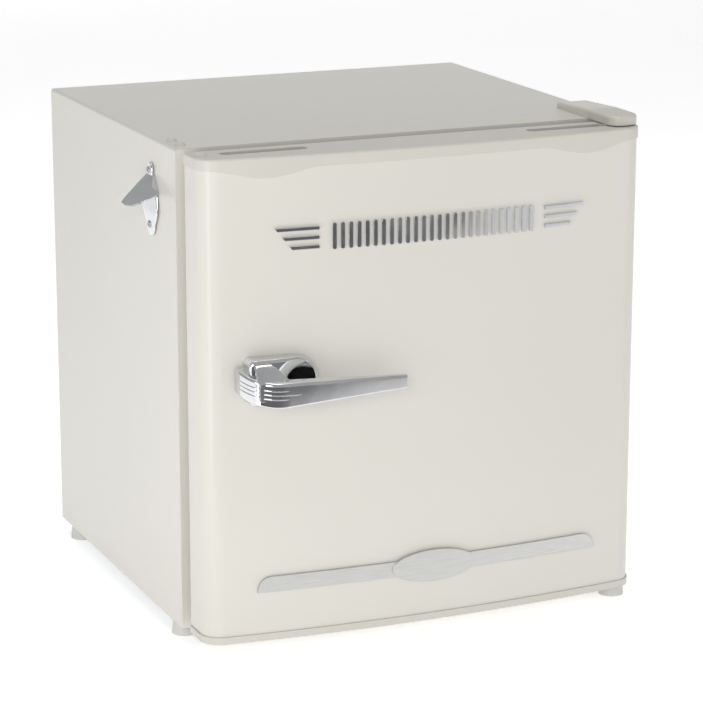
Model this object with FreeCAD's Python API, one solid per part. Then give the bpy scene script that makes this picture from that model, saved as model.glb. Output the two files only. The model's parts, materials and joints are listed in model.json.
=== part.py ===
"""Compact retro refrigerator: a foamed cabinet, a bowed door on two hinge pins, and what works inside.

Millimetres, +Z up, front towards -Y. The sub-parts are drawn about the cabinet: X = 0 is its middle,
Y = 0 its front face and Z = 0 the floor. Each one is then moved by ROW_ORIGIN, which puts the origin
on the floor under the middle of the whole outline, bottle opener and handle included.
"""
import FreeCAD
import Part
import math
import os

V = FreeCAD.Vector
X_AXIS, Y_AXIS, Z_AXIS = V(1, 0, 0), V(0, 1, 0), V(0, 0, 1)

# ---- overall sizes -------------------------------------------------------------------------------
CABINET_WIDTH = 460.0
CABINET_HEIGHT = 465.0
CABINET_DEPTH = 380.0
LEG_HEIGHT = 15.0            # floor to the underside of the cabinet
SEAL_GAP = 14.0              # cabinet front to the back of the door
DOOR_EDGE = 43.0             # door thickness at its two sides
DOOR_BOW = 14.0              # how far the middle of the door stands proud of its sides
HANDLE_REACH = 29.0          # lever's front beyond the crown of the door
OPENER_REACH = 30.0          # bottle opener's lip from the cabinet side
COVER_HEIGHT = 9.0           # hinge cover above the cabinet top

# ---- walls and clearances ------------------------------------------------------------------------
SHEET = 0.8                  # steel sheet of the wrapper, door skin and panels
LINER = 1.5                  # thermoformed plastic liner
SIDE_WALL = 32.0             # outside of the cabinet to the inside of the liner
TOP_WALL = 34.0
BOTTOM_WALL = 34.0
BACK_WALL = 34.0
FLANGE = 26.0                # steel frame round the cabinet opening
LINER_CORNER = 14.0
WRAPPER_CORNER = 3.0
RUNNING_FIT = 0.05           # radial clearance of a pin that turns in its bore
SLIDE_GAP = 0.3              # clearance between pieces that slide past each other

# ---- compressor bay ------------------------------------------------------------------------------
BAY_DEPTH = 135.0
BAY_HEIGHT = 150.0
BAY_WALL = 30.0              # foam and sheet between the bay and the liner
BASE_SHEET = 2.0             # plate that carries the compressor
COMPRESSOR_X = 40.0
COMPRESSOR_RADIUS = 54.0
COMPRESSOR_HEIGHT = 115.0
COMPRESSOR_SHELL = 3.0
GROMMET_HEIGHT = 8.0
GROMMET_RADIUS = 9.0
BOLT_RADIUS = 3.0
FEET_SHEET = 3.0
SUCTION_RADIUS = 4.0
DISCHARGE_RADIUS = 2.5
CAPILLARY_RADIUS = 1.2
DRIER_RADIUS = 9.0
DRIER_LENGTH = 62.0
CONDENSER_RADIUS = 1.8
CONDENSER_RUNS = 4

# ---- door ----------------------------------------------------------------------------------------
DOOR_INSET = 4.0             # cabinet side to door skin
DOOR_END_GAP = 1.0           # cabinet top to door top, and underside to door bottom
DOOR_CORNER = 20.0           # plan radius between the door's side and its bowed front
CAP_PLATE = 3.0
CAP_PROUD = 1.2              # caps outside the skin
CAP_DEPTH = 11.0             # top cap's lip down the front
LOBE_EXTRA = 8.5             # how much deeper the lip is below each finger slot
LOBE_INSET = 62.0            # lobe's middle from the door's side
LOBE_HALF = 54.0
LOBE_STEPS = 12
FOOT_CAP_DEPTH = 7.0
SLOT_LENGTH = 86.0
SLOT_WIDTH = 13.0
SLOT_DEPTH = 17.0
SLOT_INSET = 70.0            # slot's middle from the door's side
SLOT_BACK = 19.0             # slot's middle from the back of the door
POCKET_WALL = 1.5
DOOR_LINER = 1.6
DIKE_WIDTH = 20.0
DIKE_HEIGHT = 24.0           # raised ring of the door liner, from its back face
DIKE_GAP = 10.0              # dike to cabinet liner, all round
GASKET_WIDTH = 12.0
GASKET_INSET = 12.0          # cabinet side to gasket
MAGNET_WIDTH = 8.0
MAGNET_THICK = 3.0
RACK_WALL = 2.0
UPPER_RACK_Z = 232.0
UPPER_RACK_HEIGHT = 43.0
UPPER_RACK_REACH = 66.0      # from the back of the door liner into the cabinet
LOWER_RACK_Z = 90.0
LOWER_RACK_HEIGHT = 58.0
LOWER_RACK_REACH = 86.0

# ---- hinges --------------------------------------------------------------------------------------
PIVOT_INSET = 13.0           # pin from the cabinet side
PIVOT_FORWARD = 31.0         # pin in front of the cabinet
PIN_RADIUS = 3.5
BUSH_RADIUS = 6.0
BUSH_DEPTH = 14.0
BRACKET_THICK = 2.5
FLOOR_BRACKET_THICK = 3.0
BRACKET_WIDTH = 25.5
BRACKET_NOSE = 12.0          # bracket beyond the pin
SCREW_Y = (20.0, 43.5)       # hinge screws behind the cabinet front
SCREW_INSET = 12.0
SCREW_RADIUS = 2.5
SCREW_HEAD = 5.0
HEAD_HEIGHT = 1.6
FLOOR_SCREW_LENGTH = 17.0
BACK_SCREW_HEAD = 1.4        # how far the back panel's screw heads stand out
COVER_WIDTH = 33.0
COVER_WALL = 1.8
COVER_BACK = 66.0
COVER_FRONT = 51.0
COVER_SIDE_GAP = 1.0
PLUG_HEAD = 5.6
DOOR_PLUG_HEAD = 7.0

# ---- handle --------------------------------------------------------------------------------------
HANDLE_RISE = 24.5           # middle of the base above the middle of the door
BASE_INSET = 37.0            # door side to the left end of the base
BASE_LENGTH = 67.0
BASE_HEIGHT = 44.0
BASE_THICK = 16.0
HANDLE_SCREW_X = (14.0, 46.0)  # from the left end of the base
THREAD_LENGTH = 9.0
HEAD_SEAT = 0.7              # screw head behind the inside of the curved skin
HEAD_POCKET = 10.0
NECK_WIDTH = 20.0            # neck where it meets the base
NECK_ROOT = 42.0             # where the neck runs out along the back of the lever
SHOULDER_RISE = 14.0
LEVER_LIFT = 4.0             # lever's upper edge above the middle of the base
LEVER_HEIGHT = 24.0
LEVER_TIP_HEIGHT = 13.0
LEVER_FALL = 5.0             # how much lower the tip's upper edge is
LEVER_RISE = 15.0            # degrees that the lever climbs towards the door
LEVER_OVERHANG = 8.0         # lever's round end beyond the base
LEVER_LENGTH = 157.0
LEVER_CURVE = 36.0           # radius of the lever's rounded left end
LEVER_THICK = 14.0
LEVER_TIP_THICK = 5.0
RIDGE_PITCH = 4.0
RIDGE_SIZE = 1.3

# ---- bottle opener -------------------------------------------------------------------------------
OPENER_Y = 65.0
OPENER_DROP = 23.0           # cabinet top to the top of the opener
OPENER_HEIGHT = 70.0
OPENER_PLATE = 2.5
OPENER_RADIUS = 22.0         # half the width of the hood's lip
TONGUE_RADIUS = 11.0
OPENER_TAB = 7.0
LIP_HEIGHT = 32.0            # lip above the lower end of the tongue
HOOD_RISE = 27.0
HOOD_THROAT = 3.5            # reach of the hood at its top
HOOD_OUTLINE = ((1.0, 0.0), (1.0, 0.74), (0.86, 0.93), (0.6, 1.0))  # shares of half width and reach
LIP_SWEEP = 11.0             # how much higher the lip is where it meets the cabinet
HOOD_WALL = 2.0

# ---- door ornament -------------------------------------------------------------------------------
BADGE_DROP = 77.0            # door top to the middle of the badge
BADGE_LENGTH = 206.0
BADGE_HEIGHT = 25.0
BADGE_THICK = 2.5
BADGE_RIBS = 26
RIB_WIDTH = 4.2
WING_GAP = 12.5              # grille to the inner ends of the wing bars
WING_LENGTHS = (29.0, 36.0, 43.0)  # lower, middle and upper bar
WING_PITCH = 8.8
WING_BAR = 3.2
WING_SLANT = 2.5             # how much longer a bar is along its upper edge
TRIM_RISE = 56.0             # door bottom to the middle of the trim
TRIM_LENGTH = 354.0
TRIM_HEIGHT = 15.0
TRIM_THICK = 2.5
TRIM_OVAL = (86.0, 31.0)

# ---- inside --------------------------------------------------------------------------------------
ICE_LEFT = -190.0
ICE_WIDTH = 300.0
ICE_HEIGHT = 91.0
ICE_FRONT = 112.0
ICE_SHEET = 1.5
ICE_DROP = 5.0               # liner ceiling to the ice box
FRAME_THICK = 12.0
FRAME_BORDER = 8.0
FLAP_THICK = 4.0
FLAP_PIN = 2.0
FLAP_SETBACK = 1.2           # flap behind the front of its frame
RAIL_WALL = 1.6
TRAY_HEIGHT = 22.0
TRAY_WALL = 1.8
TRAY_RIM = 8.0
TRAY_DROP = 12.0             # ice box to the lip that the tray hangs on
RIB_REACH = 7.0
RIB_THICK = 4.0
SHELF_Z = 204.0
SHELF_THICK = 4.0
SHELF_FRONT = 96.0
SHELF_BACK_GAP = 4.0
STAT_LEFT = 122.0
STAT_HEIGHT = 61.0
STAT_FRONT = 118.0
STAT_DEPTH = 120.0
STAT_WALL = 2.0
KNOB_RADIUS = 18.0
KNOB_THICK = 14.0
SPINDLE_RADIUS = 3.0

# ---- feet ----------------------------------------------------------------------------------------
FOOT_INSET = 13.0
FOOT_BACK = 30.0             # levelling foot behind the cabinet front
REAR_FOOT_Y = 350.0
FOOT_RADIUS = 12.5
FOOT_TOP_RADIUS = 11.0
STUD_RADIUS = 4.0
STUD_LENGTH = 34.0
SOCKET_RADIUS = 9.0
PIN_DEPTH_IN_FOOT = 9.0      # how far the lower hinge pin goes into the right foot
PIN_COLLAR = 0.7             # washer between the lower bracket and the door

# ---- places that follow from the sizes -----------------------------------------------------------
HALF = CABINET_WIDTH / 2
FLOOR = LEG_HEIGHT
TOP = LEG_HEIGHT + CABINET_HEIGHT
BACK = CABINET_DEPTH
LINER_HALF = HALF - SIDE_WALL
LINER_TOP = TOP - TOP_WALL
LINER_FLOOR = FLOOR + BOTTOM_WALL
LINER_BACK = BACK - BACK_WALL
BAY_FRONT = BACK - BAY_DEPTH
BAY_TOP = FLOOR + BAY_HEIGHT
HUMP_FRONT = BAY_FRONT - BAY_WALL
HUMP_TOP = BAY_TOP + BAY_WALL

DOOR_HALF = HALF - DOOR_INSET
DOOR_TOP = TOP - DOOR_END_GAP
DOOR_FLOOR = FLOOR + DOOR_END_GAP
DOOR_BACK = -SEAL_GAP
DOOR_CROWN = DOOR_BACK - DOOR_EDGE - DOOR_BOW
BOW_RADIUS = (DOOR_HALF ** 2 + DOOR_BOW ** 2) / (2 * DOOR_BOW)
BOW_CENTRE = DOOR_CROWN + BOW_RADIUS
HANDLE_FRONT = DOOR_CROWN - HANDLE_REACH
HANDLE_Z = (DOOR_TOP + DOOR_FLOOR) / 2 + HANDLE_RISE
BASE_LEFT = -DOOR_HALF + BASE_INSET
LEVER_TOP = HANDLE_Z + LEVER_LIFT
LEVER_LEFT = BASE_LEFT - LEVER_OVERHANG
LEVER_TIP = LEVER_LEFT + LEVER_LENGTH
OPENER_TOP = TOP - OPENER_DROP
BADGE_Z = DOOR_TOP - BADGE_DROP
TRIM_Z = DOOR_FLOOR + TRIM_RISE

PIVOT_X = HALF - PIVOT_INSET
PIVOT_Y = -PIVOT_FORWARD
SCREW_X = HALF - SCREW_INSET
FOOT_X = HALF - FOOT_INSET
DIKE_HALF = LINER_HALF - DIKE_GAP
DIKE_TOP = LINER_TOP - DIKE_GAP
DIKE_FLOOR = LINER_FLOOR + DIKE_GAP
ICE_TOP = LINER_TOP - ICE_DROP
ICE_FLOOR = ICE_TOP - ICE_HEIGHT
ICE_RIGHT = ICE_LEFT + ICE_WIDTH
BAY_MIDDLE = (BAY_FRONT + BACK) / 2
FEET_Z = FLOOR + BASE_SHEET + GROMMET_HEIGHT
SHELL_Z = FEET_Z + FEET_SHEET

FOREMOST = HANDLE_FRONT - RIDGE_SIZE / 2
REARMOST = BACK + BACK_SCREW_HEAD
ROW_ORIGIN = V(OPENER_REACH / 2, -(REARMOST + FOREMOST) / 2, 0)


# ---- drawing helpers -----------------------------------------------------------------------------
def slab(x, y, z):
    """A box between two limits on each axis."""
    return Part.makeBox(x[1] - x[0], y[1] - y[0], z[1] - z[0], V(x[0], y[0], z[0]))


def rod(start, radius, length, axis=Z_AXIS):
    return Part.makeCylinder(radius, length, start, axis)


def joined(*shapes):
    return shapes[0].fuse(list(shapes[1:])).removeSplitter()


def straight_edges(shape, axis, keep):
    """Straight edges along an axis whose middle point passes the test."""
    found = []
    for edge in shape.Edges:
        if edge.Curve.TypeId != "Part::GeomLine":
            continue
        first, last = edge.Vertexes[0].Point, edge.Vertexes[-1].Point
        run = (last - first).normalize()
        if abs(run.dot(axis)) > 0.999 and keep((first + last) * 0.5):
            found.append(edge)
    return found


def closed_face(points):
    return Part.Face(Part.makePolygon(points + points[:1]))


def rounded_rect(x, z, radius, y):
    """A rounded rectangle in the plane Y = y."""
    (x0, x1), (z0, z1) = x, z
    corners = [(x0 + radius, z0 + radius, 180), (x1 - radius, z0 + radius, 270),
               (x1 - radius, z1 - radius, 0), (x0 + radius, z1 - radius, 90)]
    arcs = []
    for cx, cz, start in corners:
        points = [V(cx + radius * math.cos(math.radians(a)), y, cz + radius * math.sin(math.radians(a)))
                  for a in (start, start + 45, start + 90)]
        arcs.append(Part.Arc(*points).toShape())
    edges = []
    for arc, following in zip(arcs, arcs[1:] + arcs[:1]):
        edges.append(arc)
        edges.append(Part.makeLine(arc.Vertexes[-1].Point, following.Vertexes[0].Point))
    return Part.Face(Part.Wire(edges))


def upright_prism(x, z, radius, y):
    """A rounded rectangle swept from the first to the second value of y."""
    return rounded_rect(x, z, radius, y[0]).extrude(V(0, y[1] - y[0], 0))


def stadium(middle, length, width, z):
    """An upright block with round ends, long in X."""
    straight = (length - width) / 2
    body = slab((middle.x - straight, middle.x + straight), (middle.y - width / 2, middle.y + width / 2), z)
    ends = [rod(V(middle.x + side * straight, middle.y, z[0]), width / 2, z[1] - z[0]) for side in (-1, 1)]
    return joined(body, *ends)


def bent_path(points, bend):
    """Straight runs joined by tangent arcs of one radius."""
    edges, start = [], points[0]
    for before, corner, after in zip(points, points[1:], points[2:]):
        arriving = (corner - before).normalize()
        leaving = (after - corner).normalize()
        turn = arriving.getAngle(leaving)
        setback = bend * math.tan(turn / 2)
        arc_start = corner - arriving * setback
        arc_end = corner + leaving * setback
        inward = (leaving - arriving).normalize()
        arc_middle = corner + inward * (bend / math.cos(turn / 2) - bend)
        if (arc_start - start).Length > 1e-6:
            edges.append(Part.makeLine(start, arc_start))
        edges.append(Part.Arc(arc_start, arc_middle, arc_end).toShape())
        start = arc_end
    edges.append(Part.makeLine(start, points[-1]))
    return Part.Wire(edges)


def swept(points, bend, profile):
    """A solid whose section is the profile wire, drawn at the first point across the first run."""
    sweep = Part.BRepOffsetAPI.MakePipeShell(bent_path(points, bend))
    sweep.setTransitionMode(1)
    sweep.add(profile)
    sweep.build()
    sweep.makeSolid()
    return sweep.shape()


def tube(points, bend, radius):
    run = (points[1] - points[0]).normalize()
    ring = Part.Wire(Part.Circle(points[0], run, radius).toShape())
    return swept(points, bend, ring)


# ---- cabinet shell -------------------------------------------------------------------------------
def cabinet_block(inset, y):
    """The cabinet's outer block, rounded along its two top edges."""
    block = slab((-HALF + inset, HALF - inset), y, (FLOOR, TOP - inset))
    top_edges = straight_edges(block, Y_AXIS, lambda p: p.z > TOP - inset - 1)
    return block.makeFillet(WRAPPER_CORNER - inset, top_edges)


def hinge_screw_places(side):
    return [V(side * SCREW_X, y, TOP) for y in SCREW_Y]


def cabinet_wrapper():
    shell = cabinet_block(0, (0, BACK)).cut(cabinet_block(SHEET, (SHEET, BACK + 1)))
    opening = slab((-HALF + FLANGE, HALF - FLANGE), (-1, SHEET + 1), (FLOOR - 1, TOP - FLANGE))
    holes = [rod(p - Z_AXIS * 2, SCREW_RADIUS, 4) for side in (-1, 1) for p in hinge_screw_places(side)]
    return shell.cut([opening] + holes)


def front_rail():
    return slab((-HALF + FLANGE, HALF - FLANGE), (0, SHEET), (FLOOR, FLOOR + FLANGE))


def liner_cavity(grow):
    """The space inside the liner, or that space grown by the liner's thickness."""
    front = SHEET
    block = slab((-LINER_HALF - grow, LINER_HALF + grow), (front, LINER_BACK + grow),
                 (LINER_FLOOR - grow, LINER_TOP + grow))
    deep_edges = straight_edges(block, Y_AXIS, lambda p: True)
    deep_edges += straight_edges(block, X_AXIS, lambda p: p.y > front + 1)
    deep_edges += straight_edges(block, Z_AXIS, lambda p: p.y > front + 1)
    block = block.makeFillet(LINER_CORNER + grow, deep_edges)
    hump = slab((-HALF, HALF), (HUMP_FRONT + grow, BACK), (FLOOR, HUMP_TOP - grow))
    nose = straight_edges(hump, X_AXIS, lambda p: p.y < BAY_FRONT and p.z > BAY_TOP)
    return block.cut(hump.makeFillet(LINER_CORNER - grow, nose))


def shelf_ribs():
    """Ledges below the shelf and guides above it, on both side walls."""
    ribs = []
    for side in (-1, 1):
        x = sorted((side * (LINER_HALF - RIB_REACH), side * (LINER_HALF + LINER / 2)))
        back = LINER_BACK - LINER_CORNER
        lower = (SHELF_Z - RIB_THICK, SHELF_Z)
        upper_z = SHELF_Z + SHELF_THICK + 5
        ribs.append(slab(x, (70, back), lower))
        ribs.append(slab(x, (70, back), (upper_z, upper_z + RIB_THICK - 1)))
    return ribs


def liner_solid():
    """Everything that the liner and the space in it fill, front flange included."""
    flange = slab((-HALF + 4, HALF - 4), (SHEET, SHEET + LINER), (FLOOR + 4, TOP - 4))
    return joined(liner_cavity(LINER), flange)


def inner_liner():
    shell = liner_solid().cut(liner_cavity(0))
    return joined(shell, *shelf_ribs())


def base_pan():
    pan = slab((-HALF + SHEET, HALF - SHEET), (SHEET, BAY_FRONT), (FLOOR, FLOOR + SHEET))
    holes = [rod(p, SCREW_RADIUS, 4) for p in floor_screw_places(FLOOR - 1)]
    holes.append(rod(V(-FOOT_X, FOOT_BACK, FLOOR - 1), SOCKET_RADIUS, 4))
    return pan.cut(holes)


def bay_panel():
    width = (-HALF + SHEET, HALF - SHEET)
    wall = slab(width, (BAY_FRONT, BAY_FRONT + SHEET), (FLOOR, BAY_TOP))
    roof = slab(width, (BAY_FRONT, BACK - SHEET), (BAY_TOP - SHEET, BAY_TOP))
    return joined(wall, roof)


def back_panel():
    panel = slab((-HALF + SHEET, HALF - SHEET), (BACK - SHEET, BACK), (BAY_TOP - SHEET, TOP - SHEET))
    return panel.cut([rod(p - Y_AXIS * 3, 1.5, 6, Y_AXIS) for p in back_screw_places()])


def back_screw_places():
    return [V(x, BACK, z) for x in (-HALF + 10, 0, HALF - 10) for z in (BAY_TOP + 10, TOP - 12)]


def back_screws():
    screws = []
    for place in back_screw_places():
        shank = rod(place - Y_AXIS * 8, 1.5, 8, Y_AXIS)
        screws.append(joined(shank, rod(place, 3.5, BACK_SCREW_HEAD, Y_AXIS)))
    return screws


def condenser_points(side):
    """One side's serpentine: upright runs just inside the wrapper."""
    x = side * (HALF - SHEET - CONDENSER_RADIUS - 0.1)
    pitch = 50.0
    low, high = BAY_TOP + 30, TOP - 50
    points = []
    for run in range(CONDENSER_RUNS):
        y = BACK - 40 - pitch * run
        ends = (low, high) if run % 2 == 0 else (high, low)
        points += [V(x, y, ends[0]), V(x, y, ends[1])]
    return points


def condenser_tubes():
    return [tube(condenser_points(side), 12, CONDENSER_RADIUS) for side in (-1, 1)]


def condenser_grooves():
    """Square channels in the foam that leave the tubes 0.1 mm free."""
    grooves = []
    reach = CONDENSER_RADIUS + 0.1
    for side in (-1, 1):
        points = condenser_points(side)
        corners = [points[0] + V(dx * reach, dy * reach, 0)
                   for dx, dy in ((-1, -1), (1, -1), (1, 1), (-1, 1), (-1, -1))]
        groove = swept(points, 12, Part.makePolygon(corners))
        foot = slab((points[0].x - reach, points[0].x + reach), (points[0].y - reach, points[0].y + reach),
                    (points[0].z - 1, points[0].z))
        grooves.append(joined(groove, foot))
    return grooves


def cabinet_foam():
    block = cabinet_block(SHEET, (SHEET, BACK - SHEET))
    block = block.cut(slab((-HALF, HALF), (0, BAY_FRONT), (0, FLOOR + SHEET)))
    block = block.cut(slab((-HALF, HALF), (BAY_FRONT, BACK), (0, BAY_TOP)))
    screws = []
    for side in (-1, 1):
        screws += [rod(p - Z_AXIS * 20, SCREW_RADIUS + 0.1, 20) for p in hinge_screw_places(side)]
    screws += [rod(p, SCREW_RADIUS + 0.1, 16) for p in floor_screw_places(FLOOR)]
    screws += [rod(p - Y_AXIS * 10, 1.6, 10, Y_AXIS) for p in back_screw_places()]
    socket = rod(V(-FOOT_X, FOOT_BACK, FLOOR), SOCKET_RADIUS, SOCKET_LENGTH)
    tools = [liner_solid(), socket] + hinge_backing_plates() + screws + condenser_grooves()
    return block.cut(tools)


# ---- hinges --------------------------------------------------------------------------------------
def hinge_backing_plates():
    """Steel plates in the foam that the hinge screws bite into."""
    plates = []
    for side in (-1, 1):
        x = sorted((side * (HALF - 6), side * (HALF - 30)))
        plate = slab(x, (8, 56), (TOP - SHEET - 2, TOP - SHEET))
        holes = [rod(p - Z_AXIS * 4, SCREW_RADIUS, 6) for p in hinge_screw_places(side)]
        plates.append(plate.cut(holes))
    return plates


def bracket(z, thickness, back):
    """A flat hinge plate with a round nose under or over the door."""
    right = HALF - COVER_SIDE_GAP - COVER_WALL - 0.7
    left = right - BRACKET_WIDTH
    radius = BRACKET_NOSE
    nose_left, nose_right = PIVOT_X - radius, right
    plate = slab((left, right), (3, back), (z, z + thickness))
    neck = slab((nose_left, nose_right), (PIVOT_Y, 3), (z, z + thickness))
    nose = rod(V(PIVOT_X, PIVOT_Y, z), radius, thickness)
    trimmed = nose.common(slab((left, right), (PIVOT_Y - radius - 1, PIVOT_Y + radius), (z, z + thickness)))
    return joined(plate, neck, trimmed)


def top_hinge_bracket():
    plate = bracket(TOP, BRACKET_THICK, 56)
    holes = [rod(p - Z_AXIS, SCREW_RADIUS, 6) for p in hinge_screw_places(1)]
    return plate.cut(holes + [rod(V(PIVOT_X, PIVOT_Y, TOP - 1), PIN_RADIUS, 6)])


def top_hinge_pin():
    shank = rod(V(PIVOT_X, PIVOT_Y, DOOR_TOP - BUSH_DEPTH + 1), PIN_RADIUS,
                TOP + BRACKET_THICK - DOOR_TOP + BUSH_DEPTH - 1)
    head = rod(V(PIVOT_X, PIVOT_Y, TOP + BRACKET_THICK), PIN_RADIUS + 2, 1.6)
    return joined(shank, head)


def floor_screw_places(z):
    return [V(HALF - 24, 12, z), V(HALF - 24, 50, z)]


def bottom_hinge_bracket():
    plate = bracket(FLOOR - FLOOR_BRACKET_THICK, FLOOR_BRACKET_THICK, 58)
    low = FLOOR - FLOOR_BRACKET_THICK - 1
    holes = [rod(p, SCREW_RADIUS, 6) for p in floor_screw_places(low)]
    return plate.cut(holes + [rod(V(PIVOT_X, PIVOT_Y, low), PIN_RADIUS, 6)])


def bottom_hinge_pin():
    """The lower pin carries the door above its bracket and the right front foot below it."""
    low = FLOOR - FLOOR_BRACKET_THICK - PIN_DEPTH_IN_FOOT
    shank = rod(V(PIVOT_X, PIVOT_Y, low), PIN_RADIUS, DOOR_FLOOR + BUSH_DEPTH - 1 - low)
    return joined(shank, rod(V(PIVOT_X, PIVOT_Y, FLOOR), PIN_RADIUS + 2, PIN_COLLAR))


def hinge_screws():
    screws = []
    for place in hinge_screw_places(1):
        seat = place + Z_AXIS * BRACKET_THICK
        screws.append(joined(rod(seat - Z_AXIS * 18, SCREW_RADIUS, 18), rod(seat, SCREW_HEAD, HEAD_HEIGHT)))
    for place in floor_screw_places(FLOOR - FLOOR_BRACKET_THICK):
        head = rod(place - Z_AXIS * HEAD_HEIGHT, SCREW_HEAD, HEAD_HEIGHT)
        screws.append(joined(rod(place, SCREW_RADIUS, FLOOR_SCREW_LENGTH), head))
    return screws


def cover_outline(inset, z):
    """Plan of the hinge cover: square behind, following the door's round corner in front."""
    right = HALF - COVER_SIDE_GAP - inset
    left = HALF - COVER_SIDE_GAP - COVER_WIDTH + inset
    back, front = COVER_BACK - inset, -COVER_FRONT + inset
    outer, inner = DOOR_CORNER - 2 - inset, DOOR_CORNER - 8 - inset
    slant = math.sqrt(0.5)
    corner_r = V(right - outer, front + outer, z)
    corner_l = V(left + inner, front + inner, z)
    edges = [Part.makeLine(V(left, back, z), V(right, back, z)),
             Part.makeLine(V(right, back, z), V(right, corner_r.y, z)),
             Part.Arc(V(right, corner_r.y, z), corner_r + V(slant, -slant, 0) * outer,
                      V(corner_r.x, front, z)).toShape()]
    if corner_r.x - corner_l.x > 1e-6:
        edges.append(Part.makeLine(V(corner_r.x, front, z), V(corner_l.x, front, z)))
    edges += [Part.Arc(V(corner_l.x, front, z), corner_l + V(-slant, -slant, 0) * inner,
                       V(left, corner_l.y, z)).toShape(),
              Part.makeLine(V(left, corner_l.y, z), V(left, back, z))]
    return Part.Face(Part.Wire(edges))


def hinge_cover():
    """A snap-on cover, lower at the back than at the front."""
    outer = cover_outline(0, TOP).extrude(V(0, 0, COVER_HEIGHT))
    fall = 3.0
    wedge = closed_face([V(0, COVER_BACK + 1, TOP + COVER_HEIGHT - fall), V(0, 0, TOP + COVER_HEIGHT),
                         V(0, 0, TOP + COVER_HEIGHT + 9), V(0, COVER_BACK + 1, TOP + COVER_HEIGHT + 9)])
    outer = outer.cut(wedge.extrude(V(HALF + 9, 0, 0)))
    brow = [e for e in outer.Edges if e.BoundBox.ZMin > TOP + COVER_HEIGHT - fall - 1
            and e.BoundBox.ZLength < fall + 1 and e.BoundBox.YLength + e.BoundBox.XLength > 1
            and not (e.BoundBox.XLength > COVER_WIDTH - 2 and abs(e.BoundBox.YMin) < 0.1)]
    outer = outer.makeFillet(2.5, brow)
    inner = cover_outline(COVER_WALL, TOP - 1).extrude(V(0, 0, COVER_HEIGHT - fall - COVER_WALL + 1))
    return outer.cut(inner)


def plug(place, head, stem, depth):
    """A push-in plug with a low domed head."""
    stalk = rod(place - Z_AXIS * depth, stem, depth)
    cap = Part.makeCone(head, head - 1.4, 2.2, place, Z_AXIS)
    return joined(stalk, cap)


def cabinet_plugs():
    return [plug(p, PLUG_HEAD, SCREW_RADIUS, 10) for p in hinge_screw_places(-1)]


# ---- feet ----------------------------------------------------------------------------------------
SOCKET_LENGTH = STUD_LENGTH + 4


def foot_socket():
    base = V(-FOOT_X, FOOT_BACK, FLOOR)
    body = rod(base, SOCKET_RADIUS, SOCKET_LENGTH)
    return body.cut(rod(base - Z_AXIS, STUD_RADIUS + RUNNING_FIT, STUD_LENGTH + 2))


def foot_pad(x, y, top):
    return Part.makeCone(FOOT_RADIUS, FOOT_TOP_RADIUS, top, V(x, y, 0), Z_AXIS)


def front_foot_left():
    """A pad on a stud that goes up into its socket."""
    top = FLOOR - SLIDE_GAP
    stud = rod(V(-FOOT_X, FOOT_BACK, top), STUD_RADIUS, FLOOR + STUD_LENGTH - top)
    return joined(foot_pad(-FOOT_X, FOOT_BACK, top), stud)


def front_foot_right():
    """A pad under the hinge, bored for the lower end of the hinge pin."""
    top = FLOOR - FLOOR_BRACKET_THICK - SLIDE_GAP
    low = FLOOR - FLOOR_BRACKET_THICK - PIN_DEPTH_IN_FOOT - SLIDE_GAP
    bore = rod(V(PIVOT_X, PIVOT_Y, low), PIN_RADIUS + RUNNING_FIT, top + 1 - low)
    return foot_pad(PIVOT_X, PIVOT_Y, top).cut(bore)


def rear_feet():
    return [foot_pad(side * FOOT_X, REAR_FOOT_Y, FLOOR) for side in (-1, 1)]


# ---- bottle opener -------------------------------------------------------------------------------
def opener_screw_places():
    low = OPENER_TOP - OPENER_HEIGHT + 11
    return [V(-HALF, OPENER_Y, OPENER_TOP - OPENER_TAB), V(-HALF, OPENER_Y, low)]


def hood_section(half_width, reach, z):
    """Outline of the hood at one height, with chamfered outer corners, closed along the plate."""
    side = [V(-HALF - out * reach, OPENER_Y - across * half_width, z) for across, out in HOOD_OUTLINE]
    other = [V(p.x, 2 * OPENER_Y - p.y, z) for p in reversed(side)]
    return Part.makePolygon(side + other + side[:1])


def hood_block(inset):
    """The flared hood: each section is wider, and stands out further, than the one above."""
    lip = OPENER_TOP - OPENER_HEIGHT + LIP_HEIGHT
    sections = []
    for share in (0.0, 0.3, 0.6, 1.0):
        half_width = OPENER_TAB + (OPENER_RADIUS - OPENER_TAB) * share ** 0.8
        reach = HOOD_THROAT + (OPENER_REACH - HOOD_THROAT) * share ** 1.1
        z = lip + HOOD_RISE * (1 - share) - inset * 0.8
        sections.append(hood_section(half_width - inset, reach - inset, z))
    return Part.makeLoft(sections, True, True)


def opener_tongue(low):
    """The plate below the hood: wide at the hood and tapering to a round end."""
    wide_z, narrow_z = low + LIP_HEIGHT - 7, low + TONGUE_RADIUS
    x = -HALF - OPENER_PLATE
    ends = [rod(V(x, OPENER_Y, wide_z), OPENER_RADIUS - 2, OPENER_PLATE, X_AXIS),
            rod(V(x, OPENER_Y, narrow_z), TONGUE_RADIUS, OPENER_PLATE, X_AXIS)]
    sides = closed_face([V(x, OPENER_Y - OPENER_RADIUS + 2, wide_z), V(x, OPENER_Y - TONGUE_RADIUS, narrow_z),
                         V(x, OPENER_Y + TONGUE_RADIUS, narrow_z), V(x, OPENER_Y + OPENER_RADIUS - 2, wide_z)])
    return joined(sides.extrude(V(OPENER_PLATE, 0, 0)), *ends)


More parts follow.
